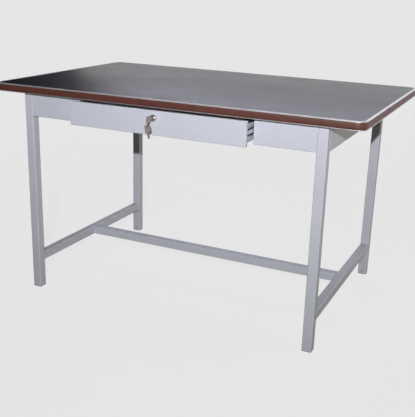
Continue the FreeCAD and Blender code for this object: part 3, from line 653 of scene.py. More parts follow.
def zinc_plate(name="zinc_plate", dark_tracks=False):
    """Zinc plate: faint crystals, lines drawn along the slides and, when asked, near-black bands along
    both ball tracks.
    """
    tree = FinishTree(name, Metallic=1.0)
    _, pick = tree.cells(tree.place(), 130.0)
    clouds, _ = tree.clouds("zinc", patch=0.04, shift=0.06)
    colour = tree.blend(tree.math("MULTIPLY", pick, 0.25), clouds, (0.74, 0.75, 0.77, 1.0))
    lines = tree.lines(700.0, 5.0, 700.0)
    crystal_rough = tree.spread(pick, 0.0, 1.0, 0.24, 0.34)
    rough = tree.math("ADD", crystal_rough, tree.spread(lines, 0.3, 0.7, 0.0, 0.1))
    if dark_tracks:
        # Near black more than TRACK_EDGE from the members' middle height, along both ball tracks.
        middle = middle_of("slide_inner_left").z * MM
        off_middle = tree.math("ABSOLUTE", tree.math("SUBTRACT", tree.along("Z"), middle))
        track = tree.spread(off_middle, TRACK_EDGE * MM, (TRACK_EDGE + TRACK_FADE) * MM)
        colour = tree.blend(track, colour, (0.018, 0.016, 0.018, 1.0))
    return tree.finished(colour, rough, lines, 0.08, 0.0002)


def zinc_dark_tracks():
    """Zinc plate of the drawer's slide members, with near-black bands along both ball tracks."""
    return zinc_plate("zinc_dark_tracks", True)


def nickel_key():
    """Nickel plate rubbed through to the brass along the edges."""
    tree = FinishTree("nickel_key", Metallic=0.35)
    clouds, _ = tree.clouds("key", patch=0.006, shift=0.12)
    colour = tree.worn(clouds, rgba("brass"), 1.0, reach=0.0007, patch=0.003)
    lines = tree.lines(900.0, 900.0, 60.0)
    rough = tree.spread(lines, 0.25, 0.75, 0.38, 0.54)
    return tree.finished(colour, rough, lines, 0.15, 0.0001)


def bright_fittings():
    return drawn_metal("bright_fittings", "fittings", (500.0, 500.0, 500.0), 0.22, 0.36, 0.008)


def ring_wire():
    return drawn_metal("ring_wire", "wire", (700.0, 700.0, 700.0), 0.36, 0.5, 0.005, 0.12)


def lock_chrome():
    return drawn_metal("lock_chrome", "chrome", (160.0, 160.0, 160.0), 0.2, 0.3, 0.006, 0.04, 0.02, 0.82)


def bearing_steel():
    return drawn_metal("bearing_steel", "bearing", (900.0, 900.0, 900.0), 0.08, 0.16, 0.004, 0.04, 0.03)


def pressed_cage():
    return drawn_metal("pressed_cage", "cage", (800.0, 8.0, 800.0), 0.3, 0.45, 0.02)


# The top

TOP_CORNER = 30.0
INNER_EDGE = 0.2
ROLLED_EDGE = 0.5
SOFT_EDGE = 0.8
MAT_EDGE = 0.4
EDGE_STEPS = 4
STRIP_STEPS = 10
STRIP_SQUARENESS = 4


def top_stations(sizes):
    """Centre and outward direction of every cross-section, from rear middle round to rear middle."""
    low, high = node_box("edge_trim")
    middle = (low + high) / 2
    reach = (high - low) / 2 - Vector((TOP_CORNER, TOP_CORNER, 0.0))
    gap = sizes.joint / 2
    stations = [(Vector((-gap, middle.y + reach.y, 0.0)), AXES[1])]
    for quarter, (x, y) in enumerate(((-1, 1), (-1, -1), (1, -1), (1, 1)), start=1):
        centre = Vector((middle.x + x * reach.x, middle.y + y * reach.y, 0.0))
        for share in shares(sizes.corner_steps):
            angle = QUARTER * (quarter + share)
            stations.append((centre, Vector((math.cos(angle), math.sin(angle), 0.0))))
    stations.append((Vector((gap, middle.y + reach.y, 0.0)), AXES[1]))
    return stations


def round_the_top(stations, profile):
    """Rings of a profile of inset and height pairs, carried round the top."""
    return [[c + d * (TOP_CORNER - inset) + UP * z for inset, z in profile] for c, d in stations]


def make_trim(sizes, stations, bottom, top):
    """Rolled profile with a lip over the mat, a groove for the strip and a foot under the board."""
    lip, groove, foot, board = sizes.lip_width, sizes.groove_depth, sizes.foot_width, sizes.board_inset
    groove_top = top - sizes.lip_face
    groove_bottom = bottom + sizes.foot_face
    board_bottom, board_top = [corner.z for corner in node_box("top_board")]
    corners = [
        (lip, top, SOFT_EDGE),
        (0.0, top, sizes.lip_rounding),
        (0.0, groove_top, ROLLED_EDGE),
        (groove, groove_top, INNER_EDGE),
        (groove, groove_bottom, INNER_EDGE),
        (0.0, groove_bottom, ROLLED_EDGE),
        (0.0, bottom, SOFT_EDGE),
        (foot, bottom, ROLLED_EDGE),
        (foot, board_bottom, INNER_EDGE),
        (board, board_bottom, INNER_EDGE),
        (board, board_top, INNER_EDGE),
        (lip, board_top, INNER_EDGE),
    ]
    skin = loft(round_the_top(stations, rounded_loop(corners, EDGE_STEPS)))
    add_piece("trim_profile", skin, satin_trim, "frame", ["edge_trim"])


def make_strip(sizes, stations, bottom, top):
    """Strip with a crowned face, a hair clear of the trim above and below."""
    low = bottom + sizes.foot_face + sizes.seam
    high = top - sizes.lip_face - sizes.seam
    back = sizes.groove_depth
    profile = []
    for share in shares(STRIP_STEPS):
        swell = sizes.strip_crown * (2 * share - 1) ** STRIP_SQUARENESS
        profile.append((sizes.strip_setback + swell, low + (high - low) * share))
    skin = loft(round_the_top(stations, profile + [(back, high), (back, low)]))
    add_piece("strip_profile", skin, brown_strip, "frame", ["edge_insert"])


def make_mat(sizes, stations, top):
    """Mat let in flush with the trim, a hair clear of it all round."""
    inset = sizes.lip_width + sizes.seam
    bevel = MAT_EDGE * 0.3
    profile = [
        (inset, node_box("top_mat")[0].z),
        (inset, top - MAT_EDGE),
        (inset + bevel, top - bevel),
        (inset + MAT_EDGE, top),
    ]
    rings = [list(ring) for ring in zip(*round_the_top(stations[1:-1], profile))]
    add_piece("mat_sheet", loft(rings), hard_mat, "frame", ["top_mat"])


class WORK_TABLE_OT_top(bpy.types.Operator):
    """Make the mat, the metal trim and the brown strip, and finish the board"""

    bl_idname = "work_table.top"
    bl_label = "Top"

    def execute(self, context):
        sizes = sizes_of("top")
        bottom, top = [corner.z for corner in node_box("edge_trim")]
        stations = top_stations(sizes)
        make_trim(sizes, stations, bottom, top)
        make_strip(sizes, stations, bottom, top)
        make_mat(sizes, stations, top)
        dress(["top_board"], chipboard)
        return {"FINISHED"}


# The frame; each apron has the axis across its sheet and the way inwards along it

LEGS = [f"leg_{row}_{side}" for row in ("front", "rear") for side, _ in SIDES]
FEET = [name.replace("leg", "foot") for name in LEGS]
SIDE_STRETCHERS = ["stretcher_left", "stretcher_right"]
APRONS = {
    "apron_left": (0, 1.0),
    "apron_right": (0, -1.0),
    "apron_rear": (1, -1.0),
    "apron_front_left": (1, 1.0),
    "apron_front_right": (1, 1.0),
}
SHEET = 1.2


class WORK_TABLE_OT_frame(bpy.types.Operator):
    """Finish the legs, feet, stretchers, aprons and brackets"""

    bl_idname = "work_table.frame"
    bl_label = "Frame"

    def execute(self, context):
        dress([*LEGS, *SIDE_STRETCHERS, "stretcher_centre", *APRONS], grey_paint)
        dress(FEET, moulded_foot)
        dress(["carrier_left", "carrier_right", "lock_keeper"], zinc_plate)
        return {"FINISHED"}


# Welds

BEAD_INSET = 4.0
BEAD_ROOT = 0.4
SEAM_INSET = 3.0
SEAM_HALF_WIDTH = 2.4
SEAM_DEPTH = 2.2
SEAM_SUNK = 0.12
BEAD_START = 0.35
BEAD_FLATNESS = 1.3
BEAD_STEPS = 5
SEAM_STEPS = 6
RIPPLE_STEPS = 4
APRON_WELD_HEIGHTS = (660.0, 690.0)
APRON_WELD_LENGTH = 16.0
LEG_GAP = 1.0


def weld(start, end, section, sizes):
    """Rippled bead from start to end; section gives a ring of offsets for a size from 0 to 1."""
    run = end - start
    pitch = sizes.ripple_pitch
    steps = max(2 * RIPPLE_STEPS, round(run.length / pitch * RIPPLE_STEPS))
    rings = []
    for share in shares(steps):
        along = run.length * share
        ends = min(1.0, BEAD_START + min(along, run.length - along) / (2 * pitch))
        wave = 1 - sizes.ripple * (0.5 + 0.5 * math.cos(2 * math.pi * along / pitch))
        rings.append([start + run * share + offset for offset in section(ends * wave)])
    return loft(rings)


def corner_bead(first, second, leg):
    """Section of a bead in an inner corner, between two directions away from it."""
    def section(size):
        ring = [(first + second) * -BEAD_ROOT]
        for share in shares(BEAD_STEPS):
            angle = QUARTER * share
            bulge = first * math.cos(angle) ** BEAD_FLATNESS + second * math.sin(angle) ** BEAD_FLATNESS
            ring.append(bulge * leg * size)
        return ring

    return section


def flush_bead(across, outwards, rise):
    """Section of a weld that fills the groove between two flush faces."""
    def section(size):
        ring = [outwards * -SEAM_DEPTH]
        for share in shares(SEAM_STEPS):
            off = 2 * share - 1
            height = rise * size * (1 - off ** 2) - SEAM_SUNK
            ring.append(across * SEAM_HALF_WIDTH * off + outwards * height)
        return ring

    return section


def weld_along(axis, box, inset, at, section, sizes):
    """Weld along an axis through a point, ending short of both ends of a box."""
    start, end = at.copy(), at.copy()
    start[axis] = box[0][axis] + inset
    end[axis] = box[1][axis] - inset
    return weld(start, end, section, sizes)


def stretcher_welds(name, run, corner, sizes):
    """Beads in the corners at both ends of a stretcher, and filled grooves where it lies flush."""
    box = node_box(name)
    flush = 3 - run - corner
    beads = []
    for end, way in zip(box, (1.0, -1.0)):
        inwards = AXES[run] * way
        for face, out in zip(box, (-1.0, 1.0)):
            at = face.copy()
            at[run] = end[run]
            section = corner_bead(inwards, AXES[corner] * out, sizes.bead)
            beads.append(weld_along(flush, box, BEAD_INSET, at, section, sizes))
        for face, out in zip(box, (-1.0, 1.0)):
            at = face.copy()
            at[run] = end[run] - way
            section = flush_bead(inwards, AXES[flush] * out, sizes.seam_height)
            beads.append(weld_along(corner, box, SEAM_INSET, at, section, sizes))
    return beads


def apron_welds(sizes):
    """Short welds behind each end of the aprons that meets a leg."""
    beads = []
    for name, (across, inward) in APRONS.items():
        low, high = node_box(name)
        run = 1 - across
        leg_faces = [corner[run] for leg in LEGS for corner in node_box(leg)]
        for end, way in ((low, 1.0), (high, -1.0)):
            if min(abs(end[run] - face) for face in leg_faces) > LEG_GAP:
                continue
            section = corner_bead(AXES[across] * inward, AXES[run] * way, sizes.bead)
            start = end.copy()
            start[across] = (low if inward > 0 else high)[across] + inward * SHEET
            for height in APRON_WELD_HEIGHTS:
                start.z = height
                beads.append(weld(start, start + UP * APRON_WELD_LENGTH, section, sizes))
    return beads


class WORK_TABLE_OT_welds(bpy.types.Operator):
    """Lay the weld beads of the frame"""

    bl_idname = "work_table.welds"
    bl_label = "Welds"

    def execute(self, context):
        sizes = sizes_of("steelwork")
        left, right = [stretcher_welds(name, 1, 2, sizes) for name in SIDE_STRETCHERS]
        groups = {
            "side_stretcher_welds": left + right,
            "centre_stretcher_welds": stretcher_welds("stretcher_centre", 0, 1, sizes),
            "apron_welds": apron_welds(sizes),
        }
        for name, beads in groups.items():
            add_piece(name, joined(beads), grey_paint, "frame")
        return {"FINISHED"}


# Screws and rivets

HEAD_SIDES = 28
HEAD_STEPS = 6
HEAD_SPIN = 0.9
RIVET_DOME = math.radians(75.0)
SLIDE_FIXINGS = (40.0, 210.0, 410.0)
BRACKET_FIXINGS = (0.1, 0.5, 0.9)
BRACKET_FLANGE = 9.5
APRON_FIXINGS = (-0.375, 0.0, 0.375)
FRONT_APRON_FIXINGS = (-0.25, 0.25)
KEEPER_SCREWS = (-12.0, 12.0)
KEEPER_INSET = 10.0
KEEPER_DROP = 0.3


def pan_head(sizes):
    """Pan head with a cross recess, standing on Z = 0."""
    radius, height = sizes.screw_radius, sizes.screw_height
    profile = [(radius * 0.97, 0.0), (radius, height * 0.12)]
    for share in shares(HEAD_STEPS)[1:]:
        angle = QUARTER * share
        profile.append((radius * (0.25 + 0.75 * math.cos(angle)), height * (0.3 + 0.7 * math.sin(angle))))
    wide, narrow = radius * 0.52, radius * 0.13
    cutters = []
    for half_x, half_y in ((wide, narrow), (narrow, wide)):
        ring = [(half_x, half_y), (-half_x, half_y), (-half_x, -half_y), (half_x, -half_y)]
        floor = [Vector((x * 0.6, y * 0.6, height * 0.35)) for x, y in ring]
        mouth = [Vector((x, y, height * 1.2)) for x, y in ring]
        cutters.append(loft([floor, mouth]))
    return cut(turned(profile, HEAD_SIDES), cutters)


def rivet_head(sizes):
    """Low round head with a dimple, standing on Z = 0."""
    radius, height = sizes.rivet_radius, sizes.rivet_height
    profile = []
    for share in shares(HEAD_STEPS):
        angle = RIVET_DOME * share
        profile.append((radius * math.cos(angle), height * math.sin(angle)))
    return turned(profile + [(radius * 0.2, height * 0.75)], HEAD_SIDES)


def heads(shape, places, direction):
    """Copies of a head, standing on each place and pointing along a direction, each turned a little."""
    aim = UP.rotation_difference(direction).to_matrix().to_4x4()
    parts = []
    for index, place in enumerate(places):
        spin = Matrix.Rotation(HEAD_SPIN * index, 4, "Z")
        parts.append(placed(shape, Matrix.Translation(Vector(place)) @ aim @ spin))
    return parts


def apron_screw_places(under):
    """Places under the top flanges of the aprons."""
    places = []
    for name, (across, _) in APRONS.items():
        low, high = node_box(name)
        run = 1 - across
        for share in FRONT_APRON_FIXINGS if "front" in name else APRON_FIXINGS:
            place = (low + high) / 2
            place[run] += (high - low)[run] * share
            place.z = under
            places.append(place)
    return places


def bracket_screw_places(under):
    """Places under the top flanges of the slide brackets and under the lock's keeper."""
    places = []
    for side, sign in SIDES:
        low, high = node_box("carrier_" + side)
        x = (high.x if sign > 0 else low.x) - sign * BRACKET_FLANGE
        places += [(x, low.y + (high.y - low.y) * share, under) for share in BRACKET_FIXINGS]
    keeper = node_box("lock_keeper")[1].y - KEEPER_INSET
    return places + [(x, keeper, under - KEEPER_DROP) for x in KEEPER_SCREWS]


def slide_fixing_places(node, sign, face):
    """Places along the middle of a slide member, on a face that far from the table's middle."""
    low, high = node_box(node)
    return [(sign * face, low.y + along, (low.z + high.z) / 2) for along in SLIDE_FIXINGS]


class WORK_TABLE_OT_fasteners(bpy.types.Operator):
    """Set the screws under the board, the rivets of the slides and the screws in the drawer's members"""

    bl_idname = "work_table.fasteners"
    bl_label = "Fasteners"

    def execute(self, context):
        sizes = sizes_of("steelwork")
        pan = pan_head(sizes)
        rivet = rivet_head(sizes)
        rivets, screws = [], []
        for side, sign in SIDES:
            outer, inner = f"slide_outer_{side}", f"slide_inner_{side}"
            outer_face = max(abs(corner.x) for corner in node_box(outer)) + SHEET
            inner_face = min(abs(corner.x) for corner in node_box(inner)) + sizes.slide_sheet
            rivets += heads(rivet, slide_fixing_places(outer, sign, outer_face), AXES[0] * sign)
            screws += heads(pan, slide_fixing_places(inner, sign, inner_face), AXES[0] * sign)
        under = node_box("top_board")[0].z - SHEET
        groups = {
            "apron_screws": (heads(pan, apron_screw_places(under), -UP), "frame"),
            "bracket_screws": (heads(pan, bracket_screw_places(under), -UP), "frame"),
            "slide_rivets": (rivets, "frame"),
            "drawer_screws": (screws, "drawer"),
        }
        for name, (parts, body) in groups.items():
            add_piece(name, joined(parts), bright_fittings, body)
        return {"FINISHED"}


# Slides; a section gives the distance from the slide's root and the height from its middle

SLIDE_ROOT = 300.0
SLIDE_LIMBS = {
    "inner": [(7.9, 8.7), (6.2, 7.5), (2.8, 7.5), (1.6, 8.7), (0.5, 8.7)],
    "middle": [(2.2, 11.1), (3.2, 12.4), (5.8, 12.4), (6.8, 11.0), (10.1, 11.0)],
    "outer": [(4.6, 14.7), (6.0, 15.9), (10.4, 15.9), (12.2, 14.6)],
}
MEMBER_SETBACK = {"inner": 0.0, "middle": 14.0, "outer": 0.0}
MEMBER_EDGE = 0.15
END_COVER = [(1.1, 5.6), (7.3, 5.6)]
END_COVER_LENGTH = 50.0
BALL_ROWS = {"inner": (4.5, 9.95), "outer": (8.3, 13.45)}
BALL_RADIUS = 1.9
BALL_POLE = math.radians(88.0)
BALL_RINGS = 8
BALL_SIDES = 16
BALLS_PER_ROW = 5
BALL_PITCH = 42.0
BEND_STEPS = 4


def rolled_member(limb, sign, low, high, sizes):
    """Rolled channel with soft bends, between two opposite corners of its room."""
    line = limb + [(u, -v) for u, v in reversed(limb)]
    half = sizes.slide_sheet / 2
    soft = rounded_line(line, sizes.slide_bend, BEND_STEPS)
    section = [p + n * half for p, n in soft] + [p - n * half for p, n in reversed(soft)]
    height = (low.z + high.z) / 2
    rings = []
    for y in (low.y, high.y):
        rings.append([Vector((sign * (SLIDE_ROOT + p.x), y, height + p.y)) for p in section])
    return loft(rings)


def ball_row(sign, kind, middle):
    """Polished balls of one cage, a row above and a row below."""
    u, v = BALL_ROWS[kind]
    profile = []
    for share in shares(BALL_RINGS):
        angle = BALL_POLE * (2 * share - 1)
        profile.append((BALL_RADIUS * math.cos(angle), BALL_RADIUS * math.sin(angle)))
    ball = turned(profile, BALL_SIDES)
    parts = []
    for row in (1, -1):
        for index in range(BALLS_PER_ROW):
            y = middle.y + BALL_PITCH * (index - (BALLS_PER_ROW - 1) / 2)
            place = Vector((sign * (SLIDE_ROOT + u), y, middle.z + row * v))
            parts.append(placed(ball, Matrix.Translation(place)))
    return joined(parts)


class WORK_TABLE_OT_slides(bpy.types.Operator):
    """Roll the slide members and their end covers, polish the balls and finish the cages"""

    bl_idname = "work_table.slides"
    bl_label = "Slides"

    def execute(self, context):
        sizes = sizes_of("steelwork")
        for side, sign in SIDES:
            bodies = {"inner": "drawer", "middle": f"{side}_middle_member", "outer": "frame"}
            for kind, limb in SLIDE_LIMBS.items():
                node = f"slide_{kind}_{side}"
                name = f"{kind}_member_{side}"
                low, high = node_box(node)
                low.y += MEMBER_SETBACK[kind]
                skin = rolled_member(limb, sign, low, high, sizes)
                plate = zinc_dark_tracks if kind == "inner" else zinc_plate
                member = add_piece(name, skin, plate, bodies[kind], [node])
                soften(member, MEMBER_EDGE)
            low, high = node_box("slide_inner_" + side)
            high.y = low.y + END_COVER_LENGTH
            skin = rolled_member(END_COVER, sign, low, high, sizes)
            cover = add_piece("end_cover_" + side, skin, grey_paint, "drawer")
            soften(cover, MEMBER_EDGE)
            for kind in BALL_ROWS:
                node = f"{kind}_balls_{side}"
                skin = ball_row(sign, kind, middle_of(node))
                cage = f"{side}_{kind}_cage"
                add_piece(f"{kind}_bearing_{side}", skin, bearing_steel, cage, [node])
                dress([f"{kind}_cage_{side}"], pressed_cage)
        return {"FINISHED"}


# Drawer

class WORK_TABLE_OT_drawer(bpy.types.Operator):
    """Paint the drawer's front, tray and rear wall"""

    bl_idname = "work_table.drawer"
    bl_label = "Drawer"

    def execute(self, context):
        dress(["drawer_front", "drawer_liner", "drawer_tray", "drawer_back"], grey_paint)
        return {"FINISHED"}


# Lock

THREAD_ROOT = 9.1
THREAD_CREST = 9.5
LOCK_FLAT = 8.2
LOCK_SIDES = 64
BEZEL_RADIUS = 11.0
BEZEL_RIM = 1.5
BEZEL_DOME = 5.4
DOME_END = math.radians(70.0)
DOME_STEPS = 12


def lock_profile(sizes, depth, body):
    """Section of the bezel and the threaded body: radius, and height in front of the drawer's face."""
    bore, pitch = sizes.bore, sizes.thread_pitch
    outline = [(bore, -body), (THREAD_ROOT, -body)]
    for index in range(int(body / pitch) - 1):
        foot = -body + pitch * (index + 0.5)
        outline += [(THREAD_CREST, foot + pitch * 0.25), (THREAD_ROOT, foot + pitch * 0.75)]
    outline += [(THREAD_ROOT, -0.3), (THREAD_ROOT, 0.0)]
    outline += [(BEZEL_RADIUS - 0.15, 0.0), (BEZEL_RADIUS, 0.25), (BEZEL_RADIUS, BEZEL_RIM)]
    for share in shares(DOME_STEPS)[1:]:
        angle = DOME_END * share
        ahead = BEZEL_RIM + (depth - BEZEL_RIM) * math.sin(angle) / math.sin(DOME_END)
        outline.append((BEZEL_RADIUS - BEZEL_DOME * (1 - math.cos(angle)), ahead))
    return outline + [(bore + 0.5, depth - 0.2), (bore + 0.15, depth - 0.5), (bore, depth - 0.8)]


def lock_housing(sizes):
    """Domed bezel in front, flat-sided threaded body behind."""
    low, high = node_box("lock_housing")
    face = node_box("drawer_front")[0].y
    height = (low.z + high.z) / 2
    profile = lock_profile(sizes, face - low.y, high.y - face)
    rings = []
    for angle in round_angles(LOCK_SIDES):
        ring = []
        for radius, ahead in profile:
            x = radius * math.cos(angle)
            if ahead < 0.0:
                x = max(-LOCK_FLAT, min(LOCK_FLAT, x))
            ring.append(Vector((x, face - ahead, height + radius * math.sin(angle))))
        rings.append(ring)
    return loft(rings, round_trip=True)


class WORK_TABLE_OT_lock(bpy.types.Operator):
    """Turn the lock's bezel and body, and finish the plug, nut and cam"""

    bl_idname = "work_table.lock"
    bl_label = "Lock"

    def execute(self, context):
        skin = lock_housing(sizes_of("lock"))
        add_piece("lock_bezel", skin, lock_chrome, "drawer", ["lock_housing"])
        dress(["lock_plug"], lock_chrome)
        dress(["lock_nut", "lock_cam", "cam_screw"], bright_fittings)
        return {"FINISHED"}


# Keys and ring

KEY_CUTS = ((5.0, 1.2), (8.2, 2.0), (11.4, 0.9), (14.6, 1.6))
KEY_CUT_SLOPE = 1.3
KEY_FLAT = 0.4
KEY_TIP = 2.2
KEY_GROOVE = (1.1, 2.7)
KEY_GROOVE_DEPTH = 0.45
KEY_GROOVE_START = 0.5
CUT_ROOM = 1.0
BOW_SQUARENESS = 4.0
BOW_STEPS = 40
HOLE_SIDES = 40
WIRE_EDGE = 0.25
COIL_GAP = 0.02
COIL_STEP = math.radians(24.0)
COIL_START = 2.2
COIL_RINGS = 200


def key_outline(sizes):
    """Key seen from its flat side, about the ring hole: along the key, and across."""
    half = sizes.key_bow / 2
    half_width = sizes.key_bow_width / 2
    middle = half - sizes.key_hole_inset
    edge = sizes.key_blade_width / 2
    shoulder = middle + half
    tip = shoulder + sizes.key_blade
    power = 2 / BOW_SQUARENESS
    root = math.asin((edge / half_width) ** (1 / power))
    outline = []
    for share in shares(BOW_STEPS):
        angle = root + (2 * math.pi - 2 * root) * share
        along = math.copysign(abs(math.cos(angle)) ** power, math.cos(angle))
        across = math.copysign(abs(math.sin(angle)) ** power, math.sin(angle))
        outline.append((middle + half * along, half_width * across))
    for place, depth in KEY_CUTS:
        reach = depth * KEY_CUT_SLOPE
        for off, rise in ((-reach, 0.0), (-KEY_FLAT, depth), (KEY_FLAT, depth), (reach, 0.0)):
            outline.append((shoulder + place + off, rise - edge))
    return outline + [(tip - KEY_TIP, -edge), (tip, -KEY_FLAT), (tip, KEY_FLAT), (tip - KEY_TIP, edge)]


def key_shape(sizes):
    """Flat key along +Y about its ring hole, with a groove along one side of the blade."""
    half = sizes.key_thickness / 2
    skin = loft([[Vector((x, a, b)) for a, b in key_outline(sizes)] for x in (-half, half)])
    radius = sizes.key_hole
    pin = turned([(radius, -2 * half), (radius, 2 * half)], HOLE_SIDES)
    hole = placed(pin, Matrix.Rotation(QUARTER, 4, "Y"))
    start = sizes.key_bow - sizes.key_hole_inset + KEY_GROOVE_START
    floor, mouth = half - KEY_GROOVE_DEPTH, half + CUT_ROOM
    low, high = KEY_GROOVE
    corners = [(floor, low), (mouth, low), (mouth, high), (floor, high)]
    groove = loft([[Vector((x, y, z)) for x, z in corners] for y in (start, start + sizes.key_blade)])
    return cut(skin, [hole, groove])


def split_ring(sizes):
    """Flat wire wound twice round, stepping from one coil to the other."""
    centre = middle_of("key_ring")
    across = (AXES[0] + AXES[1]).normalized()
    sideways = (AXES[0] - AXES[1]).normalized()
    wide, thick = sizes.ring_wire / 2, sizes.ring_coil / 2
    offset = thick + COIL_GAP
    quarters = ((1, 1), (-1, 1), (-1, -1), (1, -1))
    section = rounded_loop([(wide * a, thick * b, WIRE_EDGE) for a, b in quarters], 2)
    turns = 4 * math.pi
    rings = []
    for share in shares(COIL_RINGS):
        angle = COIL_STEP + (turns - 2 * COIL_STEP) * share
        step = max(0.0, min(1.0, (angle - (turns / 2 - COIL_STEP)) / (2 * COIL_STEP)))
        shift = offset * (2 * step * step * (3 - 2 * step) - 1)
        out = sideways * math.cos(angle - COIL_START) + UP * math.sin(angle - COIL_START)
        rings.append([centre + out * (sizes.ring_radius + r) + across * (shift + t) for r, t in section])
    return loft(rings)


class WORK_TABLE_OT_keys(bpy.types.Operator):
    """Cut the two keys and wind their split ring"""

    bl_idname = "work_table.keys"
    bl_label = "Keys"

    def execute(self, context):
        sizes = sizes_of("lock")
        low, high = node_box("key")
        hole = Vector((0.0, low.y + sizes.key_hole_inset, (low.z + high.z) / 2))
        wire = Matrix.Translation(middle_of("key_ring") - UP * sizes.ring_radius)
        lean = Matrix.Rotation(sizes.spare_lean, 4, AXES[0] - AXES[1])
        drop = Matrix.Translation(UP * -sizes.spare_drop)
        twist = Matrix.Rotation(sizes.spare_turn, 4, "Z")
        hanging = wire @ lean @ drop @ twist @ Matrix.Rotation(-QUARTER, 4, "X")
        shape = key_shape(sizes)
        keys = (("lock_key", "key", Matrix.Translation(hole)), ("hanging_key", "spare_key", hanging))
        for name, node, where in keys:
            key = add_piece(name, placed(shape, where), nickel_key, node, [node])
            soften(key, sizes.key_edge)
        add_piece("split_ring", split_ring(sizes), ring_wire, "ring", ["key_ring"])
        return {"FINISHED"}


# Studio, in metres

def under_top():
    """Point on the floor under the middle of the top."""
    low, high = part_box("edge_trim")
    middle = (low + high) / 2
    return Vector((middle.x, middle.y, 0.0))


SENSOR_WIDTH = 36.0


def place_camera(studio):
    """Camera at the height and angle of a person standing before the table's right corner."""
    camera = bpy.data.cameras.new("camera")
    camera.lens = studio.lens
    camera.sensor_width = SENSOR_WIDTH
    obj = add_object("camera", camera)
    level = math.cos(studio.pitch)
    aside, forwards = math.sin(studio.yaw), math.cos(studio.yaw)
    ahead = Vector((-aside * level, forwards * level, -math.sin(studio.pitch)))
    right = Vector((forwards, aside, 0.0))
    over = right.cross(ahead)
    c, s = math.cos(studio.roll), math.sin(studio.roll)
    columns = (right * c + over * s, over * c - right * s, -ahead)
    aim = Matrix(columns).transposed().to_4x4()
    obj.matrix_world = Matrix.Translation(under_top() + Vector(studio.camera_place)) @ aim
    bpy.context.scene.camera = obj


class Lamp(NamedTuple):
    """Area lamp; its place and aim are from the floor under the middle of the top."""

    place: tuple
    aim: tuple
    size: tuple
    power: float
    colour: tuple
    spread: float = 180.0
    in_reflections: bool = False
    passes_over: tuple = ()


WHITE = (1.0, 1.0, 1.0)
WARM = (1.0, 0.93, 0.76)
COOL = (0.85, 0.86, 1.03)
LAMPS = {
    "key_lamp": Lamp(
        (1.28, -3.04, 1.6), (0.0, -0.3, 1.2), (0.05, 0.05), 23.7, WHITE, 84.0, True, ("mat_sheet",)
    ),
    "overhead_panel": Lamp((-0.3, 2.4, 2.8), (0.0, 0.0, 0.7), (3.6, 1.2), 31.5, COOL, 180.0, True),
    "right_panel": Lamp((3.2, 0.2, 0.85), (0.0, 0.0, 0.5), (3.0, 1.6), 22.0, WARM),
    "left_panel": Lamp((-3.4, -0.2, 0.7), (0.0, 0.0, 0.5), (3.0, 1.2), 9.0, WARM),
    "rear_panel": Lamp((-2.2, 3.2, 0.25), (0.0, 0.0, 0.3), (3.0, 0.4), 30.0, WARM),
}


def add_lamp(name, lamp, brightness):
    """Light a lamp, unseen by the camera."""
    light = bpy.data.lights.new(name, "AREA")
    light.shape = "ELLIPSE" if lamp.size[0] == lamp.size[1] else "RECTANGLE"
    light.size, light.size_y = lamp.size
    light.energy = lamp.power * brightness
    light.color = lamp.colour
    light.spread = math.radians(lamp.spread)
    obj = add_object(name, light)
    obj.location = under_top() + Vector(lamp.place)
    obj.rotation_euler = (Vector(lamp.aim) - Vector(lamp.place)).to_track_quat("-Z", "Y").to_euler()
    obj.visible_camera = False
    obj.visible_glossy = lamp.in_reflections
    if lamp.passes_over:
        unlit = bpy.data.collections.new(name + "_passes_over")
        for piece in lamp.passes_over:
            unlit.objects.link(bpy.data.objects[piece])
        for entry in unlit.collection_objects:
            entry.light_linking.link_state = "EXCLUDE"
        obj.light_linking.receiver_collection = unlit


def empty_tree(owner):
    """Cleared node tree of a material or a world."""
    owner.use_nodes = True
    owner.node_tree.nodes.clear()
    return Tree(owner.node_tree)


def seen_rays(tree):
    """Mask of the rays from the camera and of those in reflections."""
    path = tree.add("ShaderNodeLightPath").outputs
    glossy = tree.math("MAXIMUM", path["Is Glossy Ray"], path["Is Transmission Ray"])
    return tree.math("MAXIMUM", path["Is Camera Ray"], glossy)


def light_world(studio):
    """Pale backdrop for the camera and for reflections, a low warm light for the rest."""
    world = bpy.data.worlds.new("studio")
    bpy.context.scene.world = world
    tree = empty_tree(world)
    low = tree.add("ShaderNodeBackground", {"Color": (*studio.fill, 1.0), "Strength": studio.ambient})
    pale = tree.add("ShaderNodeBackground", {"Color": (*studio.backdrop, 1.0), "Strength": 1.0})
    mix = tree.add("ShaderNodeMixShader", {0: seen_rays(tree), 1: low.outputs[0], 2: pale.outputs[0]})
    tree.add("ShaderNodeOutputWorld", {"Surface": mix.outputs[0]})


def add_sheet(name, corners, material, unseen_by=()):
    """Flat sheet of the studio, hidden from some kinds of ray."""
    mesh = bpy.data.meshes.new(name)
    mesh.from_pydata(corners, [], [tuple(range(len(corners)))])
    mesh.materials.append(material)
    obj = add_object(name, mesh)
    for ray in unseen_by:
        setattr(obj, "visible_" + ray, False)


FLOOR_RADIUS = 4.0
FLOOR_SIDES = 64
FLOOR_FADE = (1.2, 3.6)
FLOOR_GLOW = 1.09
FLOOR_LIFT = 0.85


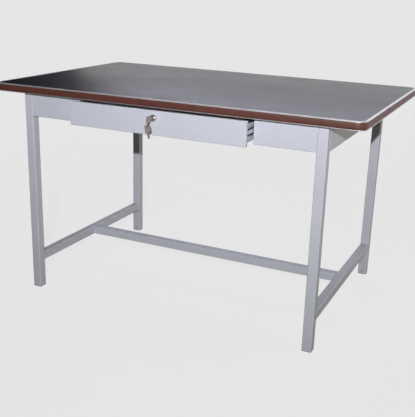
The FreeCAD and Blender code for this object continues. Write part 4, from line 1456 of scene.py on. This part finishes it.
def lay_floor(studio):
    """Round pale floor that keeps the shadow and fades into the backdrop."""
    material = bpy.data.materials.new("pale_floor")
    tree = empty_tree(material)
    seen = seen_rays(tree)
    shade = tree.blend(seen, (0.30, 0.28, 0.23, 1.0), (0.8, 0.8, 0.8, 1.0))
    matt = tree.add("ShaderNodeBsdfDiffuse", {"Color": shade}).outputs[0]
    glow = {"Color": (*studio.backdrop, 1.0), "Strength": FLOOR_GLOW}
    pale = tree.add("ShaderNodeEmission", glow).outputs[0]
    lift = tree.math("MULTIPLY", seen, FLOOR_LIFT)
    lifted = tree.add("ShaderNodeMixShader", {0: lift, 1: matt, 2: pale}).outputs[0]
    clear = tree.add("ShaderNodeBsdfTransparent").outputs[0]
    fade = tree.spread(tree.vector("LENGTH", {0: tree.place()}, "Value"), *FLOOR_FADE)
    mix = tree.add("ShaderNodeMixShader", {0: tree.math("MULTIPLY", seen, fade), 1: lifted, 2: clear})
    tree.add("ShaderNodeOutputMaterial", {"Surface": mix.outputs[0]})
    angles = round_angles(FLOOR_SIDES)
    rim = [(FLOOR_RADIUS * math.cos(a), FLOOR_RADIUS * math.sin(a), 0.0) for a in angles]
    add_sheet("floor", rim, material)


class Screen(NamedTuple):
    """Upright or level screen between two opposite corners, and how bright it looks in reflections."""

    low: tuple
    high: tuple
    level: float


SCREENS = {
    "left_screen": Screen((-9.0, 3.0, -1.0), (-2.75, 3.0, 5.0), 0.0),
    "front_screen": Screen((-9.0, -6.5, -0.5), (9.0, -6.5, 5.0), 0.0),
    "ceiling_screen": Screen((-9.0, -6.5, 5.0), (9.0, 3.5, 5.0), 0.0),
    "ground_screen": Screen((-9.0, -6.5, 0.002), (9.0, 0.35, 0.002), 0.06),
}


def hang_screens():
    """Dark screens round the table, seen only in reflections."""
    for name, screen in SCREENS.items():
        material = bpy.data.materials.new(name)
        tree = empty_tree(material)
        dim = tree.add("ShaderNodeEmission", {"Strength": screen.level}).outputs[0]
        tree.add("ShaderNodeOutputMaterial", {"Surface": dim})
        (x0, y0, z0), (x1, y1, z1) = screen.low, screen.high
        corners = [(x0, y0, z0), (x1, y0, z0), (x1, y1, z1), (x0, y1, z1)]
        places = [under_top() + Vector(corner) for corner in corners]
        add_sheet(name, places, material, ("camera", "diffuse", "shadow"))


class WORK_TABLE_OT_stage(bpy.types.Operator):
    """Set up the backdrop, the floor, the screens, the lamps and the camera"""

    bl_idname = "work_table.stage"
    bl_label = "Stage"

    def execute(self, context):
        studio = settings("studio")
        context.scene.view_settings.view_transform = "Standard"
        light_world(studio)
        lay_floor(studio)
        hang_screens()
        for name, lamp in LAMPS.items():
            add_lamp(name, lamp, studio.brightness)
        place_camera(studio)
        return {"FINISHED"}


# Panel and registration

class WORK_TABLE_PT_panel(bpy.types.Panel):
    """Steps of the table and the values that they use"""

    bl_idname = "WORK_TABLE_PT_panel"
    bl_label = "Work Table"
    bl_space_type = "VIEW_3D"
    bl_region_type = "UI"
    bl_category = "Work Table"

    def draw(self, context):
        layout = self.layout
        for step in STEPS:
            layout.operator(step.bl_idname)
        for name, group in GROUPS.items():
            box = layout.box()
            box.label(text=group.__doc__)
            for key in group.__annotations__:
                box.prop(settings(name), key)


GROUPS = {
    "top": TopSizes,
    "steelwork": SteelworkSizes,
    "lock": LockSizes,
    "finishes": Finishes,
    "studio": Studio,
}
STEPS = (
    WORK_TABLE_OT_top,
    WORK_TABLE_OT_frame,
    WORK_TABLE_OT_welds,
    WORK_TABLE_OT_fasteners,
    WORK_TABLE_OT_slides,
    WORK_TABLE_OT_drawer,
    WORK_TABLE_OT_lock,
    WORK_TABLE_OT_keys,
    WORK_TABLE_OT_stage,
)
CLASSES = (*GROUPS.values(), *STEPS, WORK_TABLE_PT_panel)


def register():
    for cls in CLASSES:
        bpy.utils.register_class(cls)
    for name, group in GROUPS.items():
        setattr(bpy.types.Scene, "work_table_" + name, PointerProperty(type=group))


def unregister():
    for name in GROUPS:
        delattr(bpy.types.Scene, "work_table_" + name)
    for cls in reversed(CLASSES):
        bpy.utils.unregister_class(cls)


def main():
    register()
    for step in STEPS:
        getattr(bpy.ops.work_table, step.bl_idname.split(".")[1])()


if __name__ == "__main__":
    main()
